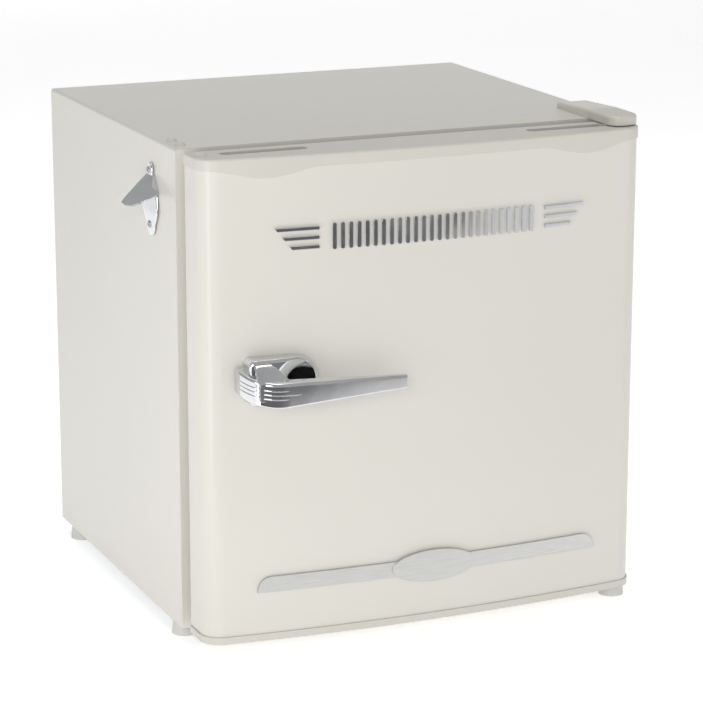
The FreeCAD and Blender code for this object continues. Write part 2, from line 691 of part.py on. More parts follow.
def bottle_opener():
    low = OPENER_TOP - OPENER_HEIGHT
    tab_z = OPENER_TOP - OPENER_TAB
    tab = slab((-HALF - OPENER_PLATE, -HALF), (OPENER_Y - OPENER_TAB, OPENER_Y + OPENER_TAB),
               (low + LIP_HEIGHT, tab_z))
    tip = rod(V(-HALF - OPENER_PLATE, OPENER_Y, tab_z), OPENER_TAB, OPENER_PLATE, X_AXIS)
    lip = low + LIP_HEIGHT
    under = closed_face([V(-HALF, 0, lip - 9), V(-HALF - OPENER_REACH - 1, 0, lip - 9),
                         V(-HALF - OPENER_REACH - 1, 0, lip), V(-HALF, 0, lip + LIP_SWEEP)])
    hood = hood_block(0).cut([hood_block(HOOD_WALL), under.extrude(V(0, CABINET_DEPTH, 0))])
    tooth = slab((-HALF - 9, -HALF), (OPENER_Y - 9, OPENER_Y + 9), (low + 20, low + 23))
    body = joined(opener_tongue(low), tab, tip, hood, tooth)
    holes = [rod(p - X_AXIS * 20, 2.0, 30, X_AXIS) for p in opener_screw_places()]
    return body.cut(holes)


def opener_screws():
    screws = []
    for place in opener_screw_places():
        head = Part.makeCone(2.2, 4.2, 2.0, place - X_AXIS * (OPENER_PLATE + 2), X_AXIS)
        shank = rod(place - X_AXIS * OPENER_PLATE, 2.0, OPENER_PLATE, X_AXIS)
        screws.append(joined(head, shank))
    return screws


# ---- door ----------------------------------------------------------------------------------------
def door_face(inset, z):
    """Plan of the door: flat back, straight sides, round corners and one long arc in front."""
    half, corner, radius = DOOR_HALF - inset, DOOR_CORNER - inset, BOW_RADIUS - inset
    corner_x = DOOR_HALF - DOOR_CORNER
    corner_y = BOW_CENTRE - math.sqrt((BOW_RADIUS - DOOR_CORNER) ** 2 - corner_x ** 2)
    outward = V(corner_x, corner_y - BOW_CENTRE, 0).normalize()
    between = (outward + X_AXIS).normalize()
    side_end = V(half, corner_y, z)
    corner_mid = V(corner_x, corner_y, z) + between * corner
    front_end = V(0, BOW_CENTRE, z) + outward * radius
    crown = V(0, BOW_CENTRE - radius, z)

    def flip(p):
        return V(-p.x, p.y, p.z)

    edges = [Part.makeLine(V(-half, DOOR_BACK, z), V(half, DOOR_BACK, z)),
             Part.makeLine(V(half, DOOR_BACK, z), side_end),
             Part.Arc(side_end, corner_mid, front_end).toShape(),
             Part.Arc(front_end, crown, flip(front_end)).toShape(),
             Part.Arc(flip(front_end), flip(corner_mid), flip(side_end)).toShape(),
             Part.makeLine(flip(side_end), V(-half, DOOR_BACK, z))]
    return Part.Face(Part.Wire(edges))


def door_block(inset, z):
    return door_face(inset, z[0]).extrude(V(0, 0, z[1] - z[0]))


SKIN_Z = (DOOR_FLOOR + CAP_PLATE, DOOR_TOP - CAP_PLATE)


def door_skin():
    skin = door_block(0, SKIN_Z).cut(door_block(SHEET, SKIN_Z))
    return skin.cut([rod(p - Y_AXIS * THREAD_LENGTH, SCREW_RADIUS - 0.5, 2 * THREAD_LENGTH, Y_AXIS)
                     for p in handle_screw_places()])


def slot_middles():
    x = DOOR_HALF - SLOT_INSET
    y = DOOR_BACK - SLOT_BACK
    return [V(-x, y, 0), V(x, y, 0)]


def slot_pockets(grow, z):
    return [stadium(p, SLOT_LENGTH + 2 * grow, SLOT_WIDTH + 2 * grow, z) for p in slot_middles()]


def pivot_pockets(radius, top_z, bottom_z):
    """Round pockets for the bushes and plugs, at the four corners of the door."""
    pockets = []
    for x in (-PIVOT_X, PIVOT_X):
        for z in (top_z, bottom_z):
            pockets.append(rod(V(x, PIVOT_Y, z[0]), radius, z[1] - z[0]))
    return pockets


TOP_BUSH_Z = (DOOR_TOP - BUSH_DEPTH, DOOR_TOP)
BOTTOM_BUSH_Z = (DOOR_FLOOR, DOOR_FLOOR + BUSH_DEPTH)


def lip_curve():
    """Lower edge of the top cap's lip: level, with one smooth lobe below each finger slot."""
    level = DOOR_TOP - CAP_DEPTH
    middle = DOOR_HALF - LOBE_INSET
    far = DOOR_HALF + 20
    edges, last = [], V(-far, 0, level)
    for centre in (-middle, middle):
        points = []
        for step in range(LOBE_STEPS + 1):
            share = 2 * step / LOBE_STEPS - 1
            drop = LOBE_EXTRA * (1 + math.cos(math.pi * share)) / 2
            points.append(V(centre + LOBE_HALF * share, 0, level - drop))
        curve = Part.BSplineCurve()
        curve.interpolate(points)
        edges += [Part.makeLine(last, points[0]), curve.toShape()]
        last = points[-1]
    edges.append(Part.makeLine(last, V(far, 0, level)))
    low = level - 3 * LOBE_EXTRA
    corners = [V(far, 0, level), V(far, 0, low), V(-far, 0, low), V(-far, 0, level)]
    edges += [Part.makeLine(a, b) for a, b in zip(corners, corners[1:])]
    return Part.Face(Part.Wire(edges))


def door_top_cap():
    lip_low = DOOR_TOP - CAP_DEPTH - LOBE_EXTRA - 1
    plate = door_block(-CAP_PROUD, (DOOR_TOP - CAP_PLATE, DOOR_TOP))
    front = [e for e in plate.Edges if e.BoundBox.ZMin > DOOR_TOP - 0.1 and e.BoundBox.YMin < DOOR_BACK - 1]
    plate = plate.makeFillet(CAP_PLATE * 0.6, front)
    lip = door_block(-CAP_PROUD, (lip_low, DOOR_TOP - CAP_PLATE)).cut(door_block(0, (lip_low - 1, DOOR_TOP)))
    below = lip_curve().extrude(V(0, 2 * DOOR_CROWN, 0))
    pockets = slot_pockets(POCKET_WALL, (DOOR_TOP - SLOT_DEPTH - POCKET_WALL, DOOR_TOP - CAP_PLATE))
    body = joined(plate, lip.cut(below), *pockets)
    slots = slot_pockets(0, (DOOR_TOP - SLOT_DEPTH, DOOR_TOP + 1))
    return body.cut(slots + pivot_pockets(BUSH_RADIUS, TOP_BUSH_Z, TOP_BUSH_Z))


def door_bottom_cap():
    plate_top = DOOR_FLOOR + CAP_PLATE
    plate = door_block(-CAP_PROUD, (DOOR_FLOOR, plate_top))
    lip_z = (plate_top, DOOR_FLOOR + FOOT_CAP_DEPTH)
    lip = door_block(-CAP_PROUD, lip_z).cut(door_block(0, lip_z))
    return joined(plate, lip).cut(pivot_pockets(BUSH_RADIUS, BOTTOM_BUSH_Z, BOTTOM_BUSH_Z))


def dike_ring(grow, y):
    """The door liner's raised ring, or its foam core when grow is negative."""
    outer = upright_prism((-DIKE_HALF - grow, DIKE_HALF + grow), (DIKE_FLOOR - grow, DIKE_TOP + grow),
                          LINER_CORNER + grow, y)
    inner = upright_prism((-DIKE_HALF + DIKE_WIDTH + grow, DIKE_HALF - DIKE_WIDTH - grow),
                          (DIKE_FLOOR + DIKE_WIDTH + grow, DIKE_TOP - DIKE_WIDTH - grow),
                          LINER_CORNER - 4 - grow, y)
    return outer.cut(inner)


def dike_core():
    plate_front = DOOR_BACK - DOOR_LINER
    return dike_ring(-DOOR_LINER, (plate_front, DOOR_BACK + DIKE_HEIGHT - DOOR_LINER))


def liner_plate():
    width = DOOR_HALF - SHEET
    return slab((-width, width), (DOOR_BACK - DOOR_LINER, DOOR_BACK), SKIN_Z)


def door_liner():
    crest = DOOR_BACK + DIKE_HEIGHT
    ring = dike_ring(0, (DOOR_BACK, crest))
    rim = [e for e in ring.Edges if abs(e.BoundBox.YMin - crest) < 0.1 and e.BoundBox.YLength < 0.1]
    ring = ring.makeFillet(DOOR_LINER + 1, rim)
    return joined(liner_plate(), ring).cut(dike_core())


def door_foam():
    fill = door_block(SHEET, SKIN_Z).cut(liner_plate())
    pockets = slot_pockets(POCKET_WALL, (DOOR_TOP - SLOT_DEPTH - POCKET_WALL, DOOR_TOP))
    bores = pivot_pockets(BUSH_RADIUS, TOP_BUSH_Z, BOTTOM_BUSH_Z)
    heads = [rod(p - Y_AXIS * HEAD_SEAT, SCREW_HEAD, HEAD_POCKET, Y_AXIS) for p in handle_screw_places()]
    return joined(fill.cut(pockets + bores + heads), dike_core())


def door_gasket():
    y = (DOOR_BACK, -SLIDE_GAP)
    outer, inner = [upright_prism((-HALF + inset, HALF - inset), (FLOOR + inset, TOP - inset), corner, y)
                    for inset, corner in ((GASKET_INSET, 8), (GASKET_INSET + GASKET_WIDTH, 4))]
    return outer.cut([inner] + gasket_magnets())


def gasket_magnets():
    """Four magnet strips behind the sealing face."""
    y = (-SLIDE_GAP - 1 - MAGNET_THICK, -SLIDE_GAP - 1)
    near = GASKET_INSET + (GASKET_WIDTH - MAGNET_WIDTH) / 2
    far = near + MAGNET_WIDTH
    strips = []
    for side in (-1, 1):
        x = sorted((side * (HALF - near), side * (HALF - far)))
        strips.append(slab(x, y, (FLOOR + far + 4, TOP - far - 4)))
    for z in ((FLOOR + near, FLOOR + far), (TOP - far, TOP - near)):
        strips.append(slab((-HALF + far + 4, HALF - far - 4), y, z))
    return strips


def bush(z):
    return rod(V(PIVOT_X, PIVOT_Y, z[0]), BUSH_RADIUS, BUSH_DEPTH)


def hinge_bushes():
    bore_radius = PIN_RADIUS + RUNNING_FIT
    top_bore = rod(V(PIVOT_X, PIVOT_Y, TOP_BUSH_Z[0] + 0.7), bore_radius, BUSH_DEPTH)
    bottom_bore = rod(V(PIVOT_X, PIVOT_Y, DOOR_FLOOR - 1), bore_radius, BUSH_DEPTH + 0.3)
    return [bush(TOP_BUSH_Z).cut(top_bore), bush(BOTTOM_BUSH_Z).cut(bottom_bore)]


def door_plugs():
    top = plug(V(-PIVOT_X, PIVOT_Y, DOOR_TOP), DOOR_PLUG_HEAD, BUSH_RADIUS, 8)
    bottom = rod(V(-PIVOT_X, PIVOT_Y, DOOR_FLOOR), BUSH_RADIUS, 8)
    return [top, bottom]


def door_rack(z, height, reach):
    """A balcony tray between the dike's inner faces."""
    half = DIKE_HALF - DIKE_WIDTH
    front = DOOR_BACK + reach
    tray = slab((-half, half), (DOOR_BACK, front), (z, z + height))
    rise = straight_edges(tray, Z_AXIS, lambda p: p.y > front - 1)
    tray = tray.makeFillet(14, rise)
    space = slab((-half + RACK_WALL, half - RACK_WALL), (DOOR_BACK - 1, front - RACK_WALL),
                 (z + RACK_WALL, z + height + 1))
    rise = straight_edges(space, Z_AXIS, lambda p: p.y > front - RACK_WALL - 1)
    return tray.cut(space.makeFillet(14 - RACK_WALL, rise))


def upper_door_rack():
    return door_rack(UPPER_RACK_Z, UPPER_RACK_HEIGHT, UPPER_RACK_REACH)


def lower_door_rack():
    return door_rack(LOWER_RACK_Z, LOWER_RACK_HEIGHT, LOWER_RACK_REACH)


# ---- handle --------------------------------------------------------------------------------------
def bow_y(x):
    """Y of the door's front face at a given x."""
    return BOW_CENTRE - math.sqrt(BOW_RADIUS ** 2 - x ** 2)


BASE_FRONT = bow_y(BASE_LEFT + BASE_LENGTH / 2) - BASE_THICK


def handle_screw_places():
    return [V(BASE_LEFT + x, bow_y(BASE_LEFT + x) + SHEET, HANDLE_Z) for x in HANDLE_SCREW_X]


def handle_base():
    radius = BASE_HEIGHT / 2
    round_x = BASE_LEFT + BASE_LENGTH - radius
    depth = DOOR_CROWN - BASE_FRONT + 30
    block = slab((BASE_LEFT, round_x), (BASE_FRONT, BASE_FRONT + depth),
                 (HANDLE_Z - radius, HANDLE_Z + radius))
    left = straight_edges(block, Y_AXIS, lambda p: p.x < BASE_LEFT + 1)
    block = block.makeFillet(6, left)
    block = joined(block, rod(V(round_x, BASE_FRONT, HANDLE_Z), radius, depth, Y_AXIS))
    face = [e for e in block.Edges if e.BoundBox.YMax < BASE_FRONT + 0.1]
    block = block.makeFillet(3.5, face)
    dish_radius, dish_depth = 44.0, 5.0
    dish = Part.makeSphere(dish_radius, V(round_x, BASE_FRONT - dish_radius + dish_depth, HANDLE_Z))
    threads = [rod(p - Y_AXIS * THREAD_LENGTH, SCREW_RADIUS - 0.5, 2 * THREAD_LENGTH, Y_AXIS)
               for p in handle_screw_places()]
    return block.cut([dish, door_block(0, SKIN_Z)] + threads)


def handle_screws():
    screws = []
    for place in handle_screw_places():
        seat = place + Y_AXIS * HEAD_SEAT
        shank = rod(place - Y_AXIS * THREAD_LENGTH, SCREW_RADIUS - 0.5, THREAD_LENGTH + HEAD_SEAT, Y_AXIS)
        screws.append(joined(shank, rod(seat, SCREW_HEAD, HEAD_HEIGHT, Y_AXIS)))
    return screws


def lever_arc(grow):
    """Outer curve of the lever's left end: its centre, and its start and end points."""
    radius = LEVER_CURVE + grow
    centre = V(LEVER_LEFT + LEVER_CURVE, HANDLE_FRONT + LEVER_CURVE, 0)
    slant = math.sqrt(0.5)
    start = centre - X_AXIS * radius
    middle = centre + V(-slant, -slant, 0) * radius
    end = centre - Y_AXIS * radius
    return centre, start, middle, end


def lever_plan(z):
    """Plan of the lever: round left end, straight front, thinning towards the tip."""
    _, start, middle, end = lever_arc(0)
    tip_front = V(LEVER_TIP, HANDLE_FRONT, 0)
    tip_back = V(LEVER_TIP, HANDLE_FRONT + LEVER_TIP_THICK, 0)
    root = V(BASE_LEFT + NECK_ROOT, HANDLE_FRONT + LEVER_THICK, 0)
    at_base = V(BASE_LEFT + NECK_WIDTH, BASE_FRONT, 0)
    corner = V(BASE_LEFT, BASE_FRONT, 0)
    heel = V(BASE_LEFT, start.y, 0)
    edges = [Part.Arc(start, middle, end).toShape()]
    outline = [end, tip_front, tip_back, root, at_base, corner, heel, start]
    edges += [Part.makeLine(a, b) for a, b in zip(outline, outline[1:])]
    face = Part.Face(Part.Wire(edges))
    face.translate(V(0, 0, z))
    return face


def tilted_slab(z, thickness, climb, fall):
    """A thick plate from one height up, which climbs towards the door and falls towards the tip."""
    plate = slab((-HALF, HALF), (2 * HANDLE_FRONT, 0), (0, thickness))
    hinge = V(LEVER_LEFT + LEVER_CURVE, HANDLE_FRONT, 0)
    plate.rotate(hinge, X_AXIS, climb)
    plate.rotate(hinge, Y_AXIS, fall)
    plate.translate(V(0, 0, z))
    return plate


def lever_ridges():
    """Three thin ribs that wrap the lever's round end, the middle one the longest."""
    ridges = []
    centre = lever_arc(0)[0]
    for step, run in ((-1, 2.0), (0, 13.0), (1, 2.0)):
        z = LEVER_TOP - LEVER_HEIGHT / 2 + step * RIDGE_PITCH - RIDGE_SIZE / 2
        disc = rod(V(centre.x, centre.y, z - 9), LEVER_CURVE + RIDGE_SIZE / 2, 36)
        disc = disc.cut(rod(V(centre.x, centre.y, z - 10), LEVER_CURVE - 1, 38))
        quarter = disc.common(slab((LEVER_LEFT - 9, centre.x), (HANDLE_FRONT - 9, centre.y - 3),
                                   (z - 9, z + 27)))
        front = (HANDLE_FRONT - RIDGE_SIZE / 2, HANDLE_FRONT + 1)
        band = joined(quarter, slab((centre.x, centre.x + run), front, (z - 9, z + 27)))
        ridges.append(band.common(tilted_slab(z, RIDGE_SIZE, LEVER_RISE, 0)))
    return ridges


def handle_lever():
    low = LEVER_TOP - LEVER_HEIGHT
    run = LEVER_TIP - LEVER_LEFT - LEVER_CURVE
    top_fall = math.degrees(math.atan2(LEVER_FALL, run))
    low_climb = -math.degrees(math.atan2(LEVER_HEIGHT - LEVER_FALL - LEVER_TIP_HEIGHT, run))
    blade = lever_plan(low - 30).extrude(V(0, 0, 90))
    above = tilted_slab(LEVER_TOP, 90, LEVER_RISE, top_fall)
    below = tilted_slab(low, 90, LEVER_RISE, low_climb)
    blade = blade.common(below).cut(above)
    left = BASE_LEFT + 4
    shoulder = closed_face([V(left, BASE_FRONT, LEVER_TOP), V(left, BASE_FRONT, LEVER_TOP + SHOULDER_RISE),
                            V(left, BASE_FRONT - SHOULDER_RISE, LEVER_TOP)])
    return joined(blade, shoulder.extrude(X_AXIS * (NECK_WIDTH - 4)), *lever_ridges())


# ---- door ornament -------------------------------------------------------------------------------
def on_door(outline, thickness):
    """A flat outline in the XZ plane, laid on the bowed door at a given thickness."""
    column = outline.extrude(V(0, 2 * DOOR_CROWN, 0))
    layer = door_block(-thickness, SKIN_Z).cut(door_block(0, SKIN_Z))
    return column.common(layer)


def wing_bar(side, number):
    """One of three stacked bars beside the grille, cut off at a slant."""
    near = side * (BADGE_LENGTH / 2 + WING_GAP)
    far = near + side * WING_LENGTHS[number]
    low = BADGE_Z + (number - 1) * WING_PITCH - WING_BAR / 2
    high = low + WING_BAR
    return closed_face([V(near, 0, low), V(far - side * WING_SLANT, 0, low),
                        V(far, 0, high), V(near, 0, high)])


def door_badge():
    """A grille of upright ribs between two wings of three bars."""
    z = (BADGE_Z - BADGE_HEIGHT / 2, BADGE_Z + BADGE_HEIGHT / 2)
    pitch = (BADGE_LENGTH - RIB_WIDTH) / (BADGE_RIBS - 1)
    outlines = []
    for number in range(BADGE_RIBS):
        left = -BADGE_LENGTH / 2 + number * pitch
        outlines.append(rounded_rect((left, left + RIB_WIDTH), z, RIB_WIDTH * 0.45, 0))
    outlines += [wing_bar(side, number) for side in (-1, 1) for number in range(len(WING_LENGTHS))]
    return [on_door(outline, BADGE_THICK) for outline in outlines]


def door_trim():
    """A brushed strip with swept ends and a raised oval in its middle."""
    half, low, high = TRIM_LENGTH / 2, TRIM_Z - TRIM_HEIGHT / 2, TRIM_Z + TRIM_HEIGHT / 2
    sweep = TRIM_HEIGHT * 0.9
    slant = math.sqrt(0.5)
    right_mid = V(half - sweep + sweep * slant, 0, high - sweep + sweep * slant)
    left_mid = V(-right_mid.x, 0, right_mid.z)
    edges = [Part.makeLine(V(-half, 0, low), V(half, 0, low)),
             Part.makeLine(V(half, 0, low), V(half, 0, high - sweep)),
             Part.Arc(V(half, 0, high - sweep), right_mid, V(half - sweep, 0, high)).toShape(),
             Part.makeLine(V(half - sweep, 0, high), V(-half + sweep, 0, high)),
             Part.Arc(V(-half + sweep, 0, high), left_mid, V(-half, 0, high - sweep)).toShape(),
             Part.makeLine(V(-half, 0, high - sweep), V(-half, 0, low))]
    strip = on_door(Part.Face(Part.Wire(edges)), TRIM_THICK)
    oval = Part.Ellipse(V(0, 0, TRIM_Z), TRIM_OVAL[0] / 2, TRIM_OVAL[1] / 2).toShape()
    oval.rotate(V(0, 0, TRIM_Z), X_AXIS, 90)
    boss = on_door(Part.Face(Part.Wire(oval)), TRIM_THICK + 1.5)
    return joined(strip, boss)


# ---- ice box, tray and shelf ---------------------------------------------------------------------
def evaporator_box():
    outer = upright_prism((ICE_LEFT, ICE_RIGHT), (ICE_FLOOR, ICE_TOP), 12, (ICE_FRONT, LINER_BACK - 10))
    inset = ICE_SHEET
    inner = upright_prism((ICE_LEFT + inset, ICE_RIGHT - inset), (ICE_FLOOR + inset, ICE_TOP - inset),
                          12 - inset, (ICE_FRONT - 1, LINER_BACK - 10 - inset))
    return outer.cut(inner)


def evaporator_hangers():
    """Spacer posts that hold the ice box below the liner ceiling."""
    return [rod(V(x, y, ICE_TOP), 6, ICE_DROP)
            for x in (ICE_LEFT + 40, ICE_RIGHT - 40) for y in (ICE_FRONT + 40, LINER_BACK - 50)]


FLAP_FRONT = ICE_FRONT - FRAME_THICK + FLAP_SETBACK
FLAP_AXIS = V(0, FLAP_FRONT + FLAP_THICK / 2, ICE_TOP - FRAME_BORDER - 4)
ICE_OPENING_X = (ICE_LEFT + FRAME_BORDER, ICE_RIGHT - FRAME_BORDER)
ICE_OPENING_Z = (ICE_FLOOR + FRAME_BORDER, ICE_TOP - FRAME_BORDER)


def ice_box_frame():
    outer = upright_prism((ICE_LEFT - 2, ICE_RIGHT + 2), (ICE_FLOOR - 1, ICE_TOP + 2), 10,
                          (ICE_FRONT - FRAME_THICK, ICE_FRONT))
    opening = upright_prism(ICE_OPENING_X, ICE_OPENING_Z, 3, (ICE_FRONT - FRAME_THICK - 1, ICE_FRONT + 1))
    bore = rod(V(ICE_OPENING_X[0] - 4, FLAP_AXIS.y, FLAP_AXIS.z), FLAP_PIN + RUNNING_FIT,
               ICE_WIDTH - 2 * FRAME_BORDER + 8, X_AXIS)
    return outer.cut([opening, bore])


def ice_box_door():
    """Flap on two pins near its top edge, with a grip along the bottom."""
    gap = 1.0
    y = (FLAP_FRONT, FLAP_FRONT + FLAP_THICK)
    x = (ICE_OPENING_X[0] + gap, ICE_OPENING_X[1] - gap)
    panel = upright_prism(x, (ICE_OPENING_Z[0] + gap, ICE_OPENING_Z[1] - gap), 1.5, y)
    middle = (x[0] + x[1]) / 2
    grip = slab((middle - 40, middle + 40), (y[0] - 9, y[0]), (ICE_OPENING_Z[0] + 4, ICE_OPENING_Z[0] + 7))
    pin = rod(V(x[0] - 4, FLAP_AXIS.y, FLAP_AXIS.z), FLAP_PIN, x[1] - x[0] + 8, X_AXIS)
    return joined(panel, grip, pin)


RAIL_LIP = ICE_FLOOR - TRAY_DROP


def tray_rails():
    """Two angle rails under the ice box that carry the tray's rim."""
    rails = []
    y = (ICE_FRONT, LINER_BACK - 20)
    for side, x in ((1, ICE_LEFT), (-1, ICE_RIGHT)):
        web = slab(sorted((x, x + side * RAIL_WALL)), y, (RAIL_LIP - RAIL_WALL, ICE_FLOOR))
        lip = slab(sorted((x, x + side * (RAIL_WALL + TRAY_RIM))), y, (RAIL_LIP - RAIL_WALL, RAIL_LIP))
        foot = slab(sorted((x + side * 12, x)), y, (ICE_FLOOR - RAIL_WALL, ICE_FLOOR))
        rails.append(joined(web, lip, foot))
    box = upright_prism((ICE_LEFT, ICE_RIGHT), (ICE_FLOOR, ICE_TOP), 12, (ICE_FRONT - 1, LINER_BACK))
    return [rail.cut(box) for rail in rails]


def drip_tray():
    left, right = ICE_LEFT + RAIL_WALL + TRAY_RIM + 1, ICE_RIGHT - RAIL_WALL - TRAY_RIM - 1
    rim_z = RAIL_LIP + SLIDE_GAP
    y = (ICE_FRONT - 14, LINER_BACK - 24)
    rim = slab((left - TRAY_RIM, right + TRAY_RIM), y, (rim_z, rim_z + 2))
    body = slab((left, right), y, (rim_z - TRAY_HEIGHT, rim_z + 2))
    low_edges = straight_edges(body, Y_AXIS, lambda p: p.z < rim_z - 1)
    body = body.makeFillet(5, low_edges)
    pull = slab((-80 + (left + right) / 2, 80 + (left + right) / 2), (y[0] - 10, y[0]), (rim_z - 3, rim_z))
    space = slab((left + TRAY_WALL, right - TRAY_WALL), (y[0] + TRAY_WALL, y[1] - TRAY_WALL),
                 (rim_z - TRAY_HEIGHT + TRAY_WALL, rim_z + 3))
    low_edges = straight_edges(space, Y_AXIS, lambda p: p.z < rim_z)
    return joined(rim, body, pull).cut(space.makeFillet(4, low_edges))


SHELF_HALF = LINER_HALF - 1.5
SHELF_Y = (SHELF_FRONT, LINER_BACK - SHELF_BACK_GAP)
TRIM_HALF = LINER_HALF - RIB_REACH - 1
GLASS_Z = (SHELF_Z + SLIDE_GAP, SHELF_Z + SLIDE_GAP + SHELF_THICK)


def shelf_glass():
    glass = slab((-SHELF_HALF, SHELF_HALF), SHELF_Y, GLASS_Z)
    back_corners = straight_edges(glass, Z_AXIS, lambda p: p.y > SHELF_Y[1] - 1)
    return glass.makeFillet(LINER_CORNER, back_corners)


def shelf_trim():
    """Plastic channels along the front and back edges of the glass."""
    channels = []
    for y in ((SHELF_Y[0] - 2, SHELF_Y[0] + 12), (SHELF_Y[1] - 12, SHELF_Y[1] + 2)):
        z = (GLASS_Z[0] - 2, GLASS_Z[1] + 2)
        bar = slab((-TRIM_HALF, TRIM_HALF), y, z)
        long_edges = straight_edges(bar, X_AXIS, lambda p: True)
        channels.append(bar.makeFillet(1.5, long_edges).cut(shelf_glass()))
    return channels


# ---- thermostat ----------------------------------------------------------------------------------
STAT_RIGHT = LINER_HALF
STAT_TOP = LINER_TOP
STAT_FLOOR = STAT_TOP - STAT_HEIGHT
KNOB_CENTRE = V((STAT_LEFT + STAT_RIGHT) / 2, STAT_FRONT, STAT_FLOOR + STAT_HEIGHT / 2)


def thermostat_housing():
    outer = slab((STAT_LEFT, STAT_RIGHT), (STAT_FRONT, STAT_FRONT + STAT_DEPTH), (STAT_FLOOR, STAT_TOP))
    free_edge = straight_edges(outer, Y_AXIS, lambda p: p.x < STAT_LEFT + 1 and p.z < STAT_TOP - 1)
    outer = outer.makeFillet(5, free_edge)
    inner = slab((STAT_LEFT + STAT_WALL, STAT_RIGHT + 1),
                 (STAT_FRONT + STAT_WALL, STAT_FRONT + STAT_DEPTH - STAT_WALL),
                 (STAT_FLOOR + STAT_WALL, STAT_TOP + 1))
    hole = rod(KNOB_CENTRE - Y_AXIS, SPINDLE_RADIUS + RUNNING_FIT, STAT_WALL + 2, Y_AXIS)
    corner = slab((STAT_LEFT, HALF), (0, BACK), (STAT_FLOOR - 1, TOP)).cut(liner_cavity(0))
    return outer.cut([inner, hole, corner])


def thermostat_body():
    y = (STAT_FRONT + STAT_WALL, STAT_FRONT + STAT_WALL + 34)
    box = slab((KNOB_CENTRE.x - 18, KNOB_CENTRE.x + 18), y, (KNOB_CENTRE.z - 16, KNOB_CENTRE.z + 16))
    return box.cut(rod(KNOB_CENTRE, SPINDLE_RADIUS + RUNNING_FIT, STAT_WALL + 13, Y_AXIS))


def thermostat_knob():
    front = STAT_FRONT - SLIDE_GAP - KNOB_THICK
    face = V(KNOB_CENTRE.x, front, KNOB_CENTRE.z)
    skirt = rod(V(KNOB_CENTRE.x, front + KNOB_THICK - 4, KNOB_CENTRE.z), KNOB_RADIUS, 4, Y_AXIS)
    grip = Part.makeCone(KNOB_RADIUS - 6, KNOB_RADIUS - 4, KNOB_THICK - 4, face, Y_AXIS)
    spindle = rod(V(KNOB_CENTRE.x, front + KNOB_THICK - 1, KNOB_CENTRE.z), SPINDLE_RADIUS,
                  SLIDE_GAP + STAT_WALL + 12, Y_AXIS)
    notches = []
    for k in range(12):
        angle = math.radians(30 * k + 15)
        out = V(math.cos(angle), 0, math.sin(angle)) * (KNOB_RADIUS - 3.8)
        notches.append(rod(face + out - Y_AXIS, 1.8, KNOB_THICK - 4, Y_AXIS))
    return joined(skirt, grip.cut(notches), spindle)


# ---- refrigeration -------------------------------------------------------------------------------
def compressor_base():
    width = (-HALF + SHEET, HALF - SHEET)
    y = (BAY_FRONT + SHEET, BACK - 2)
    plate = slab(width, y, (FLOOR, FLOOR + BASE_SHEET))
    lips = [slab(width, (y[0], y[0] + BASE_SHEET), (FLOOR, FLOOR + 12)),
            slab(width, (y[1] - BASE_SHEET, y[1]), (FLOOR, FLOOR + 12))]
    holes = [rod(p - Z_AXIS, BOLT_RADIUS, 4) for p in bolt_places()]
    return joined(plate, *lips).cut(holes)


def bolt_places():
    return [V(COMPRESSOR_X + dx, BAY_MIDDLE + dy, FLOOR) for dx in (-52, 52) for dy in (-36, 36)]


def compressor_grommets():
    rings = []
    for place in bolt_places():
        low = place + Z_AXIS * BASE_SHEET
        waist = Part.makeCone(GROMMET_RADIUS, GROMMET_RADIUS - 2, GROMMET_HEIGHT, low, Z_AXIS)
        rings.append(waist.cut(rod(low - Z_AXIS, BOLT_RADIUS, GROMMET_HEIGHT + 2)))
    return rings


def compressor_bolts():
    bolts = []
    for place in bolt_places():
        head = rod(place - Z_AXIS * 3, BOLT_RADIUS + 2.5, 3)
        top = FEET_Z + FEET_SHEET
        shank = rod(place, BOLT_RADIUS, top + 7 - place.z)
        nut = Part.Face(Part.makePolygon([V(place.x + 6 * math.cos(math.radians(60 * k)),
                                            place.y + 6 * math.sin(math.radians(60 * k)), top)
                                          for k in range(7)]))
        bolts.append(joined(head, shank, nut.extrude(V(0, 0, 5))))
    return bolts


def shell_profile(inset):
    """The welded can, turned about its own axis: two domes and a straight waist."""
    radius, low, high = COMPRESSOR_RADIUS - inset, SHELL_Z + inset, SHELL_Z + COMPRESSOR_HEIGHT - inset
    dome = 20.0
    flat = 30.0
    points = [V(0, 0, low), V(flat, 0, low), V(radius - 5, 0, low + 6), V(radius, 0, low + dome),
              V(radius, 0, high - dome - 6), V(radius - 6, 0, high - 9), V(flat - 6, 0, high), V(0, 0, high)]
    edges = [Part.makeLine(points[0], points[1]),
             Part.Arc(points[1], points[2], points[3]).toShape(),
             Part.makeLine(points[3], points[4]),
             Part.Arc(points[4], points[5], points[6]).toShape(),
             Part.makeLine(points[6], points[7]),
             Part.makeLine(points[7], points[0])]
    can = Part.Face(Part.Wire(edges)).revolve(V(0, 0, 0), Z_AXIS, 360)
    can.translate(V(COMPRESSOR_X, BAY_MIDDLE, 0))
    return can


def compressor_can():
    seam = rod(V(COMPRESSOR_X, BAY_MIDDLE, SHELL_Z + COMPRESSOR_HEIGHT * 0.52), COMPRESSOR_RADIUS + 3.5, 4)
    return joined(shell_profile(0), seam)


def compressor_shell():
    feet = slab((COMPRESSOR_X - 64, COMPRESSOR_X + 64), (BAY_MIDDLE - 48, BAY_MIDDLE + 48), (FEET_Z, SHELL_Z))
    feet = feet.makeFillet(8, straight_edges(feet, Z_AXIS, lambda p: True))
    feet = feet.cut([rod(p, BOLT_RADIUS, 40) for p in bolt_places()])
    return joined(compressor_can(), feet).cut(shell_profile(COMPRESSOR_SHELL))


